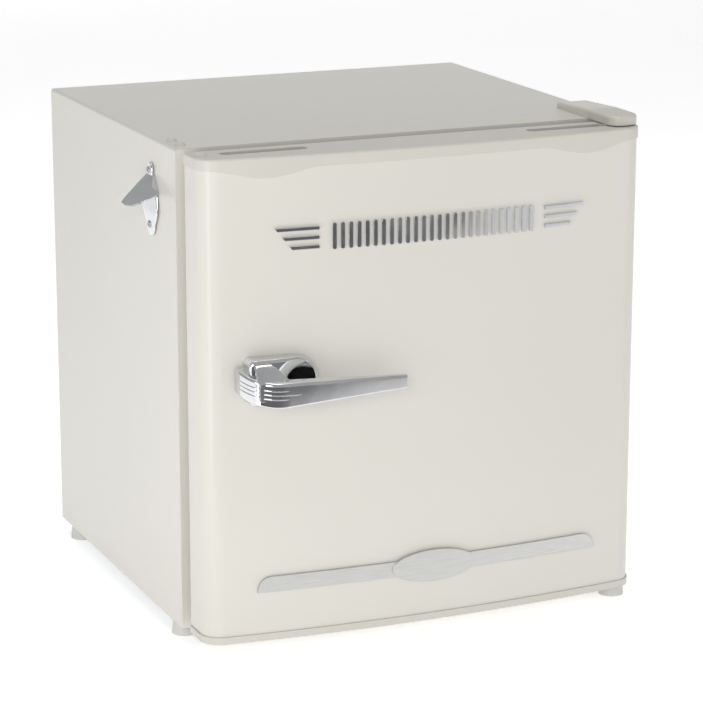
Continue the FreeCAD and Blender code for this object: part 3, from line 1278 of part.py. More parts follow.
def compressor_pump():
    low = SHELL_Z + COMPRESSOR_SHELL
    block = rod(V(COMPRESSOR_X, BAY_MIDDLE, low + 12), 36, 66)
    crank = rod(V(COMPRESSOR_X, BAY_MIDDLE, low + 78), 14, 10)
    legs = []
    for k in range(3):
        angle = math.radians(120 * k)
        foot = V(COMPRESSOR_X + 22 * math.cos(angle), BAY_MIDDLE + 22 * math.sin(angle), low)
        legs.append(rod(foot, 5, 12))
    return joined(block, crank, *legs)


RELAY_X = COMPRESSOR_X + COMPRESSOR_RADIUS


def relay_cover():
    """Plastic cover over the starting relay, on the compressor's right."""
    z = SHELL_Z + 28
    box = slab((RELAY_X - 6, RELAY_X + 34), (BAY_MIDDLE - 24, BAY_MIDDLE + 24), (z, z + 34))
    box = box.makeFillet(4, straight_edges(box, Z_AXIS, lambda p: p.x > RELAY_X))
    return box.cut([compressor_can(), rod(V(GLAND.x, GLAND.y - 30, GLAND.z), GLAND_BORE, 40, Y_AXIS)])


GLAND_BORE = 3.8
GLAND = V(RELAY_X + 16, BAY_MIDDLE + 24, SHELL_Z + 42)


def cord_gland():
    ring = Part.makeCone(8, 6.5, 9, GLAND, Y_AXIS)
    return ring.cut(rod(GLAND - Y_AXIS, GLAND_BORE, 12, Y_AXIS))


DRIER_X = COMPRESSOR_X - 110.0
DRIER_Z = FLOOR + 46


def filter_drier():
    low = V(DRIER_X, BAY_MIDDLE + 20, DRIER_Z)
    neck = 9.0
    body = rod(low, DRIER_RADIUS, DRIER_LENGTH)
    base = Part.makeCone(CAPILLARY_RADIUS + 1, DRIER_RADIUS, neck, low - Z_AXIS * neck, Z_AXIS)
    crown = Part.makeCone(DRIER_RADIUS, DISCHARGE_RADIUS + 1, neck, low + Z_AXIS * DRIER_LENGTH, Z_AXIS)
    return joined(body, base, crown)


def refrigerant_tubes():
    """Suction, discharge and process tubes, the drier's feed and the capillary."""
    bay_wall = BAY_FRONT + SHEET
    roof = BAY_TOP - SHEET
    can_x, can_y = COMPRESSOR_X, BAY_MIDDLE
    suction = [V(can_x - 30, can_y + 10, SHELL_Z + 70), V(can_x - 78, can_y + 10, SHELL_Z + 70),
               V(can_x - 78, can_y + 10, SHELL_Z + 100), V(can_x - 78, bay_wall, SHELL_Z + 100)]
    discharge = [V(can_x - 30, can_y - 8, SHELL_Z + 36), V(can_x - 90, can_y - 8, SHELL_Z + 36),
                 V(can_x - 90, can_y - 8, SHELL_Z + 16), V(can_x - 150, can_y - 8, SHELL_Z + 16),
                 V(can_x - 150, can_y - 8, roof)]
    process = [V(can_x - 20, can_y + 30, SHELL_Z + 50), V(can_x - 66, can_y + 30, SHELL_Z + 50),
               V(can_x - 66, can_y + 30, SHELL_Z + 76)]
    drier_top = V(DRIER_X, can_y + 20, DRIER_Z + DRIER_LENGTH + 9)
    feed = [drier_top, drier_top + V(0, 0, 14), V(DRIER_X - 60, can_y + 20, drier_top.z + 14),
            V(DRIER_X - 60, can_y + 20, roof)]
    drier_low = V(DRIER_X, can_y + 20, DRIER_Z - 9)
    capillary = [drier_low, drier_low - V(0, 0, 12), V(DRIER_X - 34, can_y + 20, drier_low.z - 12),
                 V(DRIER_X - 34, can_y + 20, drier_low.z + 30), V(DRIER_X - 34, bay_wall, drier_low.z + 30)]
    can = compressor_can()
    return [tube(suction, 12, SUCTION_RADIUS).cut(can), tube(discharge, 9, DISCHARGE_RADIUS).cut(can),
            tube(process, 9, DISCHARGE_RADIUS).cut(can), tube(feed, 6, DISCHARGE_RADIUS),
            tube(capillary, 5, CAPILLARY_RADIUS)]


# ---- writing the sub-parts -----------------------------------------------------------------------
SUBPARTS = [
    cabinet_wrapper, front_rail, inner_liner, base_pan, bay_panel, back_panel, back_screws, cabinet_foam,
    condenser_tubes, hinge_backing_plates, top_hinge_bracket, top_hinge_pin, bottom_hinge_bracket,
    bottom_hinge_pin, hinge_screws, hinge_cover, cabinet_plugs, foot_socket, front_foot_left,
    front_foot_right, rear_feet, bottle_opener, opener_screws,
    door_skin, door_foam, door_liner, door_gasket, gasket_magnets, door_top_cap, door_bottom_cap,
    hinge_bushes, door_plugs, upper_door_rack, lower_door_rack, handle_base, handle_lever, handle_screws,
    door_badge, door_trim,
    evaporator_box, evaporator_hangers, ice_box_frame, ice_box_door, tray_rails, drip_tray, shelf_glass,
    shelf_trim, thermostat_housing, thermostat_body, thermostat_knob,
    compressor_base, compressor_grommets, compressor_bolts, compressor_shell, compressor_pump, relay_cover,
    cord_gland, filter_drier, refrigerant_tubes,
]


def write_subparts():
    os.makedirs("parts", exist_ok=True)
    for make in SUBPARTS:
        made = make()
        solids = made if isinstance(made, list) else [made]
        solids = [solid for shape in solids for solid in shape.Solids]
        placed = Part.makeCompound(solids) if len(solids) > 1 else solids[0]
        placed.translate(ROW_ORIGIN)
        placed.exportStep(os.path.join("parts", make.__name__ + ".step"))
        box = placed.BoundBox
        print(f"{make.__name__:22s} {len(solids)} solids {placed.Volume / 1000:9.2f} cm3  "
              f"valid {placed.isValid()}  x {box.XMin:.1f}..{box.XMax:.1f} "
              f"y {box.YMin:.1f}..{box.YMax:.1f} z {box.ZMin:.1f}..{box.ZMax:.1f}")


write_subparts()
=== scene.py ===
# %% [markdown]
# # A compact cream refrigerator
# A foamed steel cabinet, a thick bowed door with a chrome lever, and a bottle opener on its side.
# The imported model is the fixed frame. It gives every sheet, hinge and shelf its shape and place.
# Here each of them gets its finish, and the pieces that need finer shape are built again as meshes.

# %% Load the frame
import json
import math

import bmesh
import bpy
from mathutils import Matrix, Vector


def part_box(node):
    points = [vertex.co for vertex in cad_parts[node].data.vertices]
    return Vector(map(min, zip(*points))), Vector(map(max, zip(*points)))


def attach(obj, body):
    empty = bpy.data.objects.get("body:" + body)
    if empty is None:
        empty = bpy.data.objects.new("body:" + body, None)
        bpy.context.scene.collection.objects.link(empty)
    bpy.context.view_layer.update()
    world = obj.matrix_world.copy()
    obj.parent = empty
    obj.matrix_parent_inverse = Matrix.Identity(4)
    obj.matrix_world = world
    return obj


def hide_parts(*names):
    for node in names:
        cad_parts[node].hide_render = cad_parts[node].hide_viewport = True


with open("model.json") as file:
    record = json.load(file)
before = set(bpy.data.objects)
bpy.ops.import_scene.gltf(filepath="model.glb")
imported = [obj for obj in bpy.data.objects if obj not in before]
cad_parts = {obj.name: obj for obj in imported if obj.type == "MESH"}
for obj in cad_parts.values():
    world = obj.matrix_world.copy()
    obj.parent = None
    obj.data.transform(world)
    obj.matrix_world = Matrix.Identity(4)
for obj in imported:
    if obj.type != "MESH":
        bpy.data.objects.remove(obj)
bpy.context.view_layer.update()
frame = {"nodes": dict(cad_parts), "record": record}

MM = 0.001

# %% [markdown]
# ## Where things are
# The cabinet's steel wrapper fixes the places: its middle, its front plane and its size.
# A point is then given as a maker would, in millimetres to the right, to the back and up from
# the floor.

# %% The cabinet's own axes
cabinet_low, cabinet_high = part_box("cabinet_wrapper")
MIDDLE = (cabinet_low.x + cabinet_high.x) / 2
FRONT = cabinet_low.y
HALF = (cabinet_high.x - cabinet_low.x) / 2 / MM
TOP = cabinet_high.z / MM
DEPTH = (cabinet_high.y - cabinet_low.y) / MM


def spot(right, back, up):
    """A point measured from the cabinet's middle, its front plane and the floor."""
    return Vector((MIDDLE + right * MM, FRONT + back * MM, up * MM))


print("cabinet", round(2 * HALF), "x", round(DEPTH), "mm, top at", round(TOP))

# %% [markdown]
# ## Shader maths as plain Python
# A material is a small program. Wrapping a socket in a class lets + and * build the Math nodes,
# so that a finish reads as the sum of what wears, stains and ripples the real surface. Their
# reflected forms let a plain number stand on the left, as in 0.3 + 0.1 * noise.

# %% Sockets that do arithmetic


class Flow:
    """One output of a node. Arithmetic on it adds a Math node."""

    def __init__(self, paint, socket):
        self.paint, self.socket = paint, socket

    def maths(self, operation, first, second):
        settings = {"operation": operation}
        return self.paint.node("ShaderNodeMath", settings, {0: first, 1: second})

    def __add__(self, other):
        return self.maths("ADD", self, other)

    def __mul__(self, other):
        return self.maths("MULTIPLY", self, other)

    __radd__ = __add__
    __rmul__ = __mul__


class Paint:
    """A material being mixed."""

    def __init__(self, name):
        self.material = bpy.data.materials.new(name)
        self.material.use_nodes = True
        self.tree = self.material.node_tree
        self.tree.nodes.clear()

    def node(self, kind, settings=None, sockets=None, output=0):
        """Adds any node: its settings first, then the value or link of each named socket."""
        made = self.tree.nodes.new(kind)
        for name, value in (settings or {}).items():
            if name == "stops":
                self.set_stops(made.color_ramp, value)
            else:
                setattr(made, name, value)
        for name, value in (sockets or {}).items():
            if isinstance(value, Flow):
                self.tree.links.new(value.socket, made.inputs[name])
            else:
                made.inputs[name].default_value = value
        return Flow(self, made.outputs[output]) if made.outputs else None

    def set_stops(self, ramp, stops):
        while len(ramp.elements) < len(stops):
            ramp.elements.new(0.5)
        for element, (place, shade) in zip(ramp.elements, stops):
            element.position = place
            element.color = (shade, shade, shade, 1)

    def place(self):
        return self.node("ShaderNodeTexCoord", output="Object")

    def stretched(self, across):
        """The place on the object, squeezed or drawn out along each axis."""
        sockets = {0: self.place(), 1: across}
        return self.node("ShaderNodeVectorMath", {"operation": "MULTIPLY"}, sockets)

    def cloud(self, scale, detail=3.0, where=None):
        """Soft noise from 0 to 1, scale blobs to the metre."""
        sockets = {"Vector": where or self.place(), "Scale": scale, "Detail": detail}
        return self.node("ShaderNodeTexNoise", None, sockets)

    def cells(self, scale, output="Distance"):
        """Cells like cracked mud: the distance to each centre, or a colour for each cell."""
        sockets = {"Vector": self.place(), "Scale": scale}
        return self.node("ShaderNodeTexVoronoi", None, sockets, output)

    def ramp(self, value, *stops):
        """A grey for each value, straight between the stops of place and shade."""
        return self.node("ShaderNodeValToRGB", {"stops": stops}, {0: value})

    def blend(self, share, first, second):
        """A colour that goes from the first to the second as share goes from 0 to 1."""
        sockets = {0: share, 6: first, 7: second}
        return self.node("ShaderNodeMix", {"data_type": "RGBA"}, sockets, 2)

    def bump(self, height, depth, edge=0.0004):
        """Surface relief of that depth in metres, on softened edges."""
        softened = self.node("ShaderNodeBevel", {"samples": 4}, {"Radius": edge})
        sockets = {"Height": height, "Distance": depth, "Strength": 1.0, "Normal": softened}
        return self.node("ShaderNodeBump", None, sockets)

    def shade(self, **sockets):
        """Ends the material in one Principled shader; spaces in socket names are underscores."""
        named = {name.replace("_", " "): value for name, value in sockets.items()}
        surface = self.node("ShaderNodeBsdfPrincipled", None, named)
        self.node("ShaderNodeOutputMaterial", None, {"Surface": surface})
        return self.material


def colour(red, green, blue):
    """A colour from three 0 to 255 values as a screen shows them."""
    linear = []
    for value in (red, green, blue):
        share = value / 255
        linear.append(share / 12.92 if share <= 0.04045 else ((share + 0.055) / 1.055) ** 2.4)
    return (*linear, 1.0)


# %% [markdown]
# ## Cream stove enamel
# The wrapper and the door skin are sheet steel, sprayed and baked. Baked enamel is even, with the
# faint ripple called orange peel, and a clear gloss over it. Two sizes of noise give the ripple,
# and a slow third one moves the tone by a shade, as large pressed panels do.

# %% Enamel
CREAM = colour(212, 209, 202)
CREAM_DEEP = colour(207, 204, 196)


def cream_enamel():
    paint = Paint("cream_enamel")
    slow = paint.cloud(3.0)
    peel = paint.cloud(420.0, 2.0)
    return paint.shade(Base_Color=paint.blend(slow, CREAM_DEEP, CREAM),
                       Roughness=0.3 + 0.08 * paint.cloud(60.0),
                       Coat_Weight=0.25, Coat_Roughness=0.12,
                       Normal=paint.bump(peel, 0.00002, 0.0008))


# %% [markdown]
# ## Mouldings
# The door's caps, hinge cover, plugs, liner and racks are plastic. A moulding shows the fine
# grain of its tool, and it is a little less even in gloss than enamel. One recipe makes them all.

# %% Plastics
def moulding(name, deep, light, rough, grain=0.000004, sheen=0.0):
    paint = Paint(name)
    tone = paint.cloud(7.0)
    texture = paint.cloud(600.0, 2.0)
    return paint.shade(Base_Color=paint.blend(tone, deep, light),
                       Roughness=rough + 0.1 * paint.cloud(45.0),
                       Coat_Weight=sheen,
                       Normal=paint.bump(texture, grain))


def clear_plastic():
    """Racks and tray: clear styrene with a cold tint and faint flow marks."""
    paint = Paint("clear_plastic")
    flow = paint.cloud(9.0, 2.0, paint.stretched((1, 6, 6)))
    return paint.shade(Base_Color=paint.blend(flow, colour(214, 230, 238), colour(236, 244, 248)),
                       Roughness=0.06 + 0.08 * paint.cloud(30.0),
                       IOR=1.5, Transmission_Weight=0.75,
                       Normal=paint.bump(flow, 0.00005))


def shelf_glass():
    """The shelf: float glass, a little green, with a trace of haze."""
    paint = Paint("shelf_glass")
    haze = paint.cloud(14.0)
    return paint.shade(Base_Color=paint.blend(haze, colour(205, 232, 224), colour(228, 244, 240)),
                       Roughness=0.01 + 0.03 * haze, IOR=1.5, Transmission_Weight=0.95,
                       Normal=paint.bump(haze, 0.00001))


# %% [markdown]
# ## Chrome and bare metals
# Chrome is a mirror, so its look comes from what it reflects. Smears of handling change only its
# gloss. Brushed metal has long fine scratches, made by drawing the noise out along one axis. Zinc
# plate freezes into flakes, which cells give, each with its own tone.

# %% Metals
def chrome():
    paint = Paint("chrome")
    smear = paint.cloud(38.0, 5.0)
    handled = paint.ramp(smear, (0.45, 0.0), (0.75, 1.0))
    return paint.shade(Base_Color=paint.blend(smear, colour(205, 207, 210), colour(236, 237, 238)),
                       Metallic=1.0, Roughness=0.05 + 0.11 * handled,
                       Normal=paint.bump(paint.cloud(90.0, 2.0), 0.00002, 0.0006))


def brushed(name, dark, light, along, rough=0.28):
    paint = Paint(name)
    scratch = paint.cloud(40.0, 6.0, paint.stretched(along))
    return paint.shade(Base_Color=paint.blend(scratch, dark, light),
                       Metallic=1.0, Roughness=rough + 0.16 * scratch,
                       Normal=paint.bump(scratch, 0.00003, 0.0005))


def zinc_sheet():
    paint = Paint("zinc_sheet")
    flake = paint.cells(90.0, "Color")
    tone = paint.node("ShaderNodeRGBToBW", None, {0: flake})
    return paint.shade(Base_Color=paint.blend(tone, colour(150, 153, 156), colour(188, 191, 194)),
                       Metallic=0.9, Roughness=0.3 + 0.22 * tone,
                       Normal=paint.bump(paint.cloud(250.0), 0.00002))


def cast(name, dark, light, metallic, rough, depth=0.00015):
    """Rough cast, drawn or dipped metal with a grainy skin."""
    paint = Paint(name)
    grain = paint.cloud(320.0, 5.0)
    return paint.shade(Base_Color=paint.blend(grain, dark, light), Metallic=metallic,
                       Roughness=rough + 0.15 * grain, Normal=paint.bump(grain, depth))


# %% [markdown]
# ## Rubber and foam
# The gasket is a soft matt extrusion that holds dust in its folds. The rigid foam in the walls is a
# mass of small closed cells with a smooth skin.

# %% Soft materials
def rubber(name, dark, light):
    paint = Paint(name)
    dust = paint.cloud(110.0, 4.0)
    return paint.shade(Base_Color=paint.blend(dust, dark, light), Roughness=0.62 + 0.25 * dust,
                       Normal=paint.bump(paint.cloud(900.0), 0.00003))


def rigid_foam():
    paint = Paint("rigid_foam")
    cell = paint.cells(700.0)
    return paint.shade(Base_Color=paint.blend(cell, colour(206, 186, 128), colour(238, 224, 178)),
                       Roughness=0.85 + 0.1 * cell, Normal=paint.bump(cell, 0.0004))


# %% [markdown]
# ## Giving each node its finish
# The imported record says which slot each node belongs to. Each slot gets its recipe once, and every
# node of that slot shares the material.

# %% Finishes by slot
FINISHES = {
    "cream_enamel": cream_enamel(),
    "cream_plastic": moulding("cream_plastic", colour(196, 193, 184), colour(203, 200, 192),
                              0.32, sheen=0.15),
    "zinc_steel": zinc_sheet(),
    "screw_steel": brushed("screw_steel", colour(150, 150, 152), colour(205, 206, 208),
                           (9, 9, 2)),
    "chrome": chrome(),
    "satin_trim": brushed("satin_trim", colour(176, 176, 174), colour(222, 222, 220),
                          (1, 12, 60), 0.3),
    "foam": rigid_foam(),
    "liner_white": moulding("liner_white", colour(232, 234, 235), colour(242, 243, 243),
                            0.24, sheen=0.2),
    "clear_plastic": clear_plastic(),
    # The gasket's two tones are partly its own tan grey and partly painted shade. They are darkened
    # to stand in for the shade in the gap between the door and the cabinet.
    "gasket_grey": rubber("gasket_grey", colour(158, 150, 134), colour(174, 167, 151)),
    "magnet": rubber("magnet", colour(26, 26, 26), colour(44, 43, 42)),
    "black_rubber": rubber("black_rubber", colour(20, 20, 20), colour(46, 46, 46)),
    "bush_plastic": moulding("bush_plastic", colour(214, 214, 210), colour(228, 228, 225), 0.4),
    "foot_plastic": moulding("foot_plastic", colour(198, 197, 192), colour(208, 207, 202),
                             0.42, 0.00002),
    "glass": shelf_glass(),
    "aluminium": brushed("aluminium", colour(182, 184, 187), colour(216, 218, 220),
                         (2, 1, 12), 0.34),
    "black_enamel": moulding("black_enamel", colour(16, 16, 17), colour(30, 30, 31),
                             0.26, 0.00004, 0.4),
    "iron": cast("iron", colour(58, 58, 60), colour(92, 92, 95), 0.8, 0.5),
    "black_plastic": moulding("black_plastic", colour(24, 24, 25), colour(38, 38, 39),
                              0.42, 0.00003),
    "copper": cast("copper", colour(150, 84, 56), colour(202, 126, 92), 1.0, 0.28, 0.00003),
}

for entry in frame["record"]["subparts"]:
    node = frame["nodes"][entry["node"]]
    node.data.materials.clear()
    node.data.materials.append(FINISHES[entry["material_slot"]])
print("finishes:", len(FINISHES))

# %% [markdown]
# ## Mesh helpers
# Most of the finer pieces are a section carried along a path. One helper skins a list of rings, and
# another puts the piece in the scene, smooth, finished, and riding on its body.

# %% Skinning rings


def skin_rings(name, rings, closed_path=False):
    """A mesh through rings of points, each a closed loop of the same count, capped at its ends."""
    mesh = bpy.data.meshes.new(name)
    count = len(rings[0])
    points = [point for ring in rings for point in ring]
    faces = []
    spans = len(rings) if closed_path else len(rings) - 1
    for span in range(spans):
        here, there = span * count, (span + 1) % len(rings) * count
        for step in range(count):
            after = (step + 1) % count
            faces.append((here + step, here + after, there + after, there + step))
    if not closed_path:
        faces.append(tuple(reversed(range(count))))
        faces.append(tuple(range(len(points) - count, len(points))))
    mesh.from_pydata(points, [], faces)
    shape = bmesh.new()
    shape.from_mesh(mesh)
    bmesh.ops.recalc_face_normals(shape, faces=shape.faces)
    shape.to_mesh(mesh)
    shape.free()
    return bpy.data.objects.new(name, mesh)


def install(piece, body, slot_name, *stands_for, soft_angle=35.0):
    """Links a piece, smooths its gentle edges, and gives it its slot's finish and its body."""
    bpy.context.scene.collection.objects.link(piece)
    piece.data.materials.append(FINISHES[slot_name])
    piece.data.set_sharp_from_angle(angle=math.radians(soft_angle))
    for face in piece.data.polygons:
        face.use_smooth = True
    flat = piece.modifiers.new("flat_faces", "WEIGHTED_NORMAL")
    flat.keep_sharp = True
    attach(piece, body)
    if stands_for:
        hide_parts(*stands_for)
    return piece


def oblong_ring(width, height, corner, steps=5):
    """Points of a rounded oblong about the origin, in its own two directions."""
    ring = []
    for quarter, (sx, sy) in enumerate(((1, 1), (-1, 1), (-1, -1), (1, -1))):
        for step in range(steps + 1):
            angle = math.radians(90 * (quarter + step / steps))
            ring.append((sx * (width / 2 - corner) + corner * math.cos(angle),
                         sy * (height / 2 - corner) + corner * math.sin(angle)))
    return ring


# %% [markdown]
# ## The lever
# A cast lever leaves its base, wraps round in a quarter circle and then runs straight across the
# door, thinner and lower to its tip. It is a rounded oblong carried along that path: its height,
# thickness and level all change on the way. Many close stations make the reflections run true.

# %% Lever path and sections
lever_low, lever_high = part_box("handle_lever")
LEVER_LEFT = (lever_low.x - MIDDLE) / MM
LEVER_TIP = (lever_high.x - MIDDLE) / MM
RIB_STAND = 0.65
LEVER_FRONT = (lever_low.y - FRONT) / MM + RIB_STAND
CURVE = 36.0
ARC = CURVE * math.pi / 2
STRAIGHT = LEVER_TIP - LEVER_LEFT - CURVE
LEVER_CLIMB = math.tan(math.radians(15.0))
LEVER_TOP, TOP_FALL = 276.0, 5.0
LEVER_BOTTOM, BOTTOM_RISE = LEVER_TOP - 24.0, 6.0
LEVER_THICK, THICK_LOSS = 11.0, 6.0
LEVER_CORNER = 2.6
RIB_DEPTH, RIB_OUT, RIB_HALF = 12.0, 0.8, 0.7


def lever_station(share):
    """Place, direction, top, bottom and thickness of the lever at a share of its length."""
    run = share * (ARC + STRAIGHT)
    if run < ARC:
        angle = run / CURVE
        place = Vector((LEVER_LEFT + CURVE - CURVE * math.cos(angle),
                        LEVER_FRONT + CURVE - CURVE * math.sin(angle)))
        heading = Vector((math.sin(angle), -math.cos(angle)))
        taper = 0.0
    else:
        taper = (run - ARC) / STRAIGHT
        place = Vector((LEVER_LEFT + CURVE + taper * STRAIGHT, LEVER_FRONT))
        heading = Vector((1.0, 0.0))
    climb = (place.y - LEVER_FRONT) * LEVER_CLIMB
    top = LEVER_TOP - TOP_FALL * taper + climb
    bottom = LEVER_BOTTOM + BOTTOM_RISE * taper + climb
    return place, heading, top, bottom, LEVER_THICK - THICK_LOSS * taper


def lever():
    """The blade: a rounded oblong at each station, tilted where the path climbs to its base."""
    rings = []
    stations = 44
    for step in range(stations + 1):
        place, heading, top, bottom, thick = lever_station(step / stations)
        inward = Vector((-heading.y, heading.x))
        centre = place + inward * thick / 2
        ring = []
        for across, up in oblong_ring(thick, top - bottom, min(LEVER_CORNER, thick * 0.42)):
            point = centre + inward * across
            tilt = inward.y * across * LEVER_CLIMB
            ring.append(spot(point.x, point.y, (top + bottom) / 2 + up + tilt))
        rings.append(ring)
    return skin_rings("lever_blade", rings)


def lever_neck():
    """The block that ties the lever to its base, with a bright sloping face."""
    base_low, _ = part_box("handle_base")
    base_front = (base_low.y - FRONT) / MM
    left = (base_low.x - MIDDLE) / MM + 4.0
    depth_top_low_width = ((base_front + 2.0, 290.0, 256.0, 17.0),
                           (base_front, 289.5, 256.5, 18.0),
                           (base_front - 6.0, 284.5, 258.0, 24.0),
                           (LEVER_FRONT + 8.0, 277.5, 258.0, 30.0),
                           (LEVER_FRONT + 5.0, 275.0, 258.5, 33.0))
    rings = []
    for depth, top, low, wide in depth_top_low_width:
        ring = []
        for across, up in oblong_ring(wide, top - low, 2.0):
            ring.append(spot(left + wide / 2 + across, depth, (top + low) / 2 + up))
        rings.append(ring)
    return skin_rings("lever_neck", rings)


def lever_rib(number, level, reach):
    """A bead that wraps the lever's round end and dies out on its front."""
    stations, turns = 26, 10
    rings = []
    for step in range(stations + 1):
        run = ARC * 0.1 + (ARC * 0.9 + reach) * step / stations
        place, heading, top, _, _ = lever_station(run / (ARC + STRAIGHT))
        outward = Vector((heading.y, -heading.x))
        fade = min(1.0, 0.15 + 4.0 * step / stations, 0.25 + (stations - step) * 0.4)
        ring = []
        for turn in range(turns):
            angle = 2 * math.pi * turn / turns
            out = place + outward * (math.cos(angle) * RIB_OUT * fade)
            rise = level + math.sin(angle) * RIB_HALF * fade
            ring.append(spot(out.x, out.y, top - RIB_DEPTH + rise))
        rings.append(ring)
    return skin_rings(f"lever_rib_{number}", rings)


install(lever(), "door", "chrome", "handle_lever", soft_angle=50.0)
install(lever_neck(), "door", "chrome")
for number, (level, reach) in enumerate(((4.0, 3.0), (0.0, 15.0), (-4.0, 3.0))):
    install(lever_rib(number, level, reach), "door", "chrome")
print("lever", round(LEVER_TIP - LEVER_LEFT), "mm long")

# %% [markdown]
# ## The bottle opener
# A cast opener is one flowing piece: a lug, a hood that flares out over the cap, and a tongue
# below. The hood is a skin of squarish arcs, each wider and further out than the last, given a
# thickness by going back along the same arcs 2 mm further in. The tongue is a rounded plate that
# swells at its top.

# %% Opener
opener_box_low, opener_box_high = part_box("bottle_opener")
OPENER_MIDDLE = ((opener_box_low.y + opener_box_high.y) / 2 - FRONT) / MM
OPENER_HALF = (opener_box_high.y - opener_box_low.y) / 2 / MM
OPENER_REACH = (cabinet_low.x - opener_box_low.x) / MM
OPENER_TOP = opener_box_high.z / MM
OPENER_LOW = opener_box_low.z / MM
LIP = OPENER_LOW + 32.0
HOOD_TOP = LIP + 27.0
LUG_HALF, LUG_REACH = 7.5, 4.0
LIP_SWEEP = 11.0
HOOD_WALL = 2.0


def hood_arc(share, inset):
    """Squarish arc from the cabinet, round the hood and back, at a share of its fall."""
    half = LUG_HALF + (OPENER_HALF - LUG_HALF) * share ** 0.75 - inset
    reach = LUG_REACH + (OPENER_REACH - LUG_REACH) * share ** 1.08 - inset
    arc = []
    steps = 24
    for step in range(steps + 1):
        angle = math.pi * step / steps
        across = -math.copysign(abs(math.cos(angle)) ** 0.62, math.cos(angle))
        out = math.sin(angle) ** 0.5
        lift = LIP_SWEEP * share ** 2 * (1 - out) - 0.6 * inset
        level = LIP + (HOOD_TOP - LIP) * (1 - share) ** 0.92 + lift
        arc.append(spot(-HALF - max(0.2, reach * out), OPENER_MIDDLE + half * across, level))
    return arc


def opener_hood():
    """Each ring goes round outside and comes back inside, so the skin has both faces."""
    rings = []
    falls = 14
    for step in range(falls + 1):
        share = step / falls
        outer, inner = hood_arc(share, 0.0), hood_arc(share, HOOD_WALL)
        rings.append(outer + inner[::-1])
    return skin_rings("opener_hood", rings)


def opener_blade(name, stations):
    """A plate along the cabinet side; each station is height, half width and thickness."""
    rings, turns = [], 24
    for height, half, thick in stations:
        ring = []
        for turn in range(turns):
            angle = 2 * math.pi * turn / turns
            along, away = math.cos(angle), math.sin(angle)
            across = math.copysign(abs(along) ** 0.5, along) * half
            out = (math.copysign(abs(away) ** 0.6, away) + 1) / 2 * thick
            ring.append(spot(-HALF - out, OPENER_MIDDLE + across, height))
        rings.append(ring)
    return skin_rings(name, rings)


def round_end(height, half, thick, sign, count=7):
    """Stations that close a plate in a round end above or below a height."""
    stations = []
    for step in range(count + 1):
        angle = math.radians(90 * (1 - step / count))
        size = max(0.08, math.cos(angle))
        stations.append((height + sign * half * math.sin(angle), half * size,
                         thick * (0.55 + 0.45 * size)))
    return stations


lug = round_end(OPENER_TOP - 7.0, 7.0, 3.6, 1)
lug += [(HOOD_TOP - 2.0, 7.0, 4.2), (HOOD_TOP - 12.0, 9.5, 3.0)]
tongue = [(LIP + 9.0, 17.0, 2.4), (LIP - 2.0, 19.5, 3.2), (LIP - 7.0, 19.5, 4.4),
          (LIP - 12.0, 17.5, 4.0)]
tongue += round_end(OPENER_LOW + 11.0, 11.0, 3.4, -1)[::-1]
install(opener_hood(), "cabinet", "chrome", "bottle_opener", soft_angle=50.0)
install(opener_blade("opener_lug", lug), "cabinet", "chrome", soft_angle=50.0)
install(opener_blade("opener_tongue", tongue), "cabinet", "chrome", soft_angle=50.0)
print("opener reaches", round(OPENER_REACH), "mm")

# %% [markdown]
# ## The door gasket
# The seal is an extruded frame with a magnet in its face and two soft folds behind it, so that it
# can stretch and close. A folded section carried round the door's four sides shows those folds
# from the side, which a plain square ring would not.

# %% Gasket section and path
gasket_low, gasket_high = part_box("door_gasket")
GASKET_CORNER = 8.0
# Each point of the section is its inset in mm and its share of the seal's depth.
GASKET_SECTION = (
    (0.0, 0.0), (1.6, 0.12), (1.8, 0.2), (0.3, 0.3), (0.1, 0.38), (1.8, 0.47), (1.8, 0.53),
    (0.2, 0.62), (0.0, 0.72), (0.0, 0.95), (0.6, 1.0), (6.0, 0.985), (11.4, 1.0), (12.0, 0.95),
    (12.0, 0.72), (10.2, 0.6), (10.2, 0.5), (11.8, 0.4), (11.8, 0.3), (10.4, 0.2), (12.0, 0.0),
)


def gasket():
    """The section at each step round four rounded outer corners, mitred at the inner ones."""
    half_x = (gasket_high.x - gasket_low.x) / 2 / MM
    half_z = (gasket_high.z - gasket_low.z) / 2 / MM
    middle_z = (gasket_high.z + gasket_low.z) / 2 / MM
    back = (gasket_low.y - FRONT) / MM
    face = (gasket_high.y - FRONT) / MM
    depth = face - back
    rings = []
    corner, steps = GASKET_CORNER, 6
    for quarter, (sx, sz) in enumerate(((1, 1), (-1, 1), (-1, -1), (1, -1))):
        for step in range(steps + 1):
            angle = math.radians(90 * (quarter + step / steps))
            out = Vector((math.cos(angle), math.sin(angle)))
            hub = Vector((sx * (half_x - corner), sz * (half_z - corner)))
            ring = []
            for inset, share in GASKET_SECTION:
                mitre = Vector((sx, sz)) * max(0.0, inset - corner)
                point = hub + out * max(0.0, corner - inset) - mitre
                ring.append(spot(point.x, back + depth * share, middle_z + point.y))
            rings.append(ring)
    return skin_rings("gasket", rings, closed_path=True)


install(gasket(), "door", "gasket_grey", "door_gasket", soft_angle=60.0)

# %% [markdown]
# ## Screw heads
# Cross-head screws hold the opener, the hinges and the back panel. A turned disc with a dome and a
# cross pressed into it is enough at this size, as long as the cross is real depth.

# %% A domed cross-head
# The cross as shares of the head: half width, depth and reach.
SLOT_HALF, SLOT_DEPTH, SLOT_REACH = 0.13, 0.6, 0.62


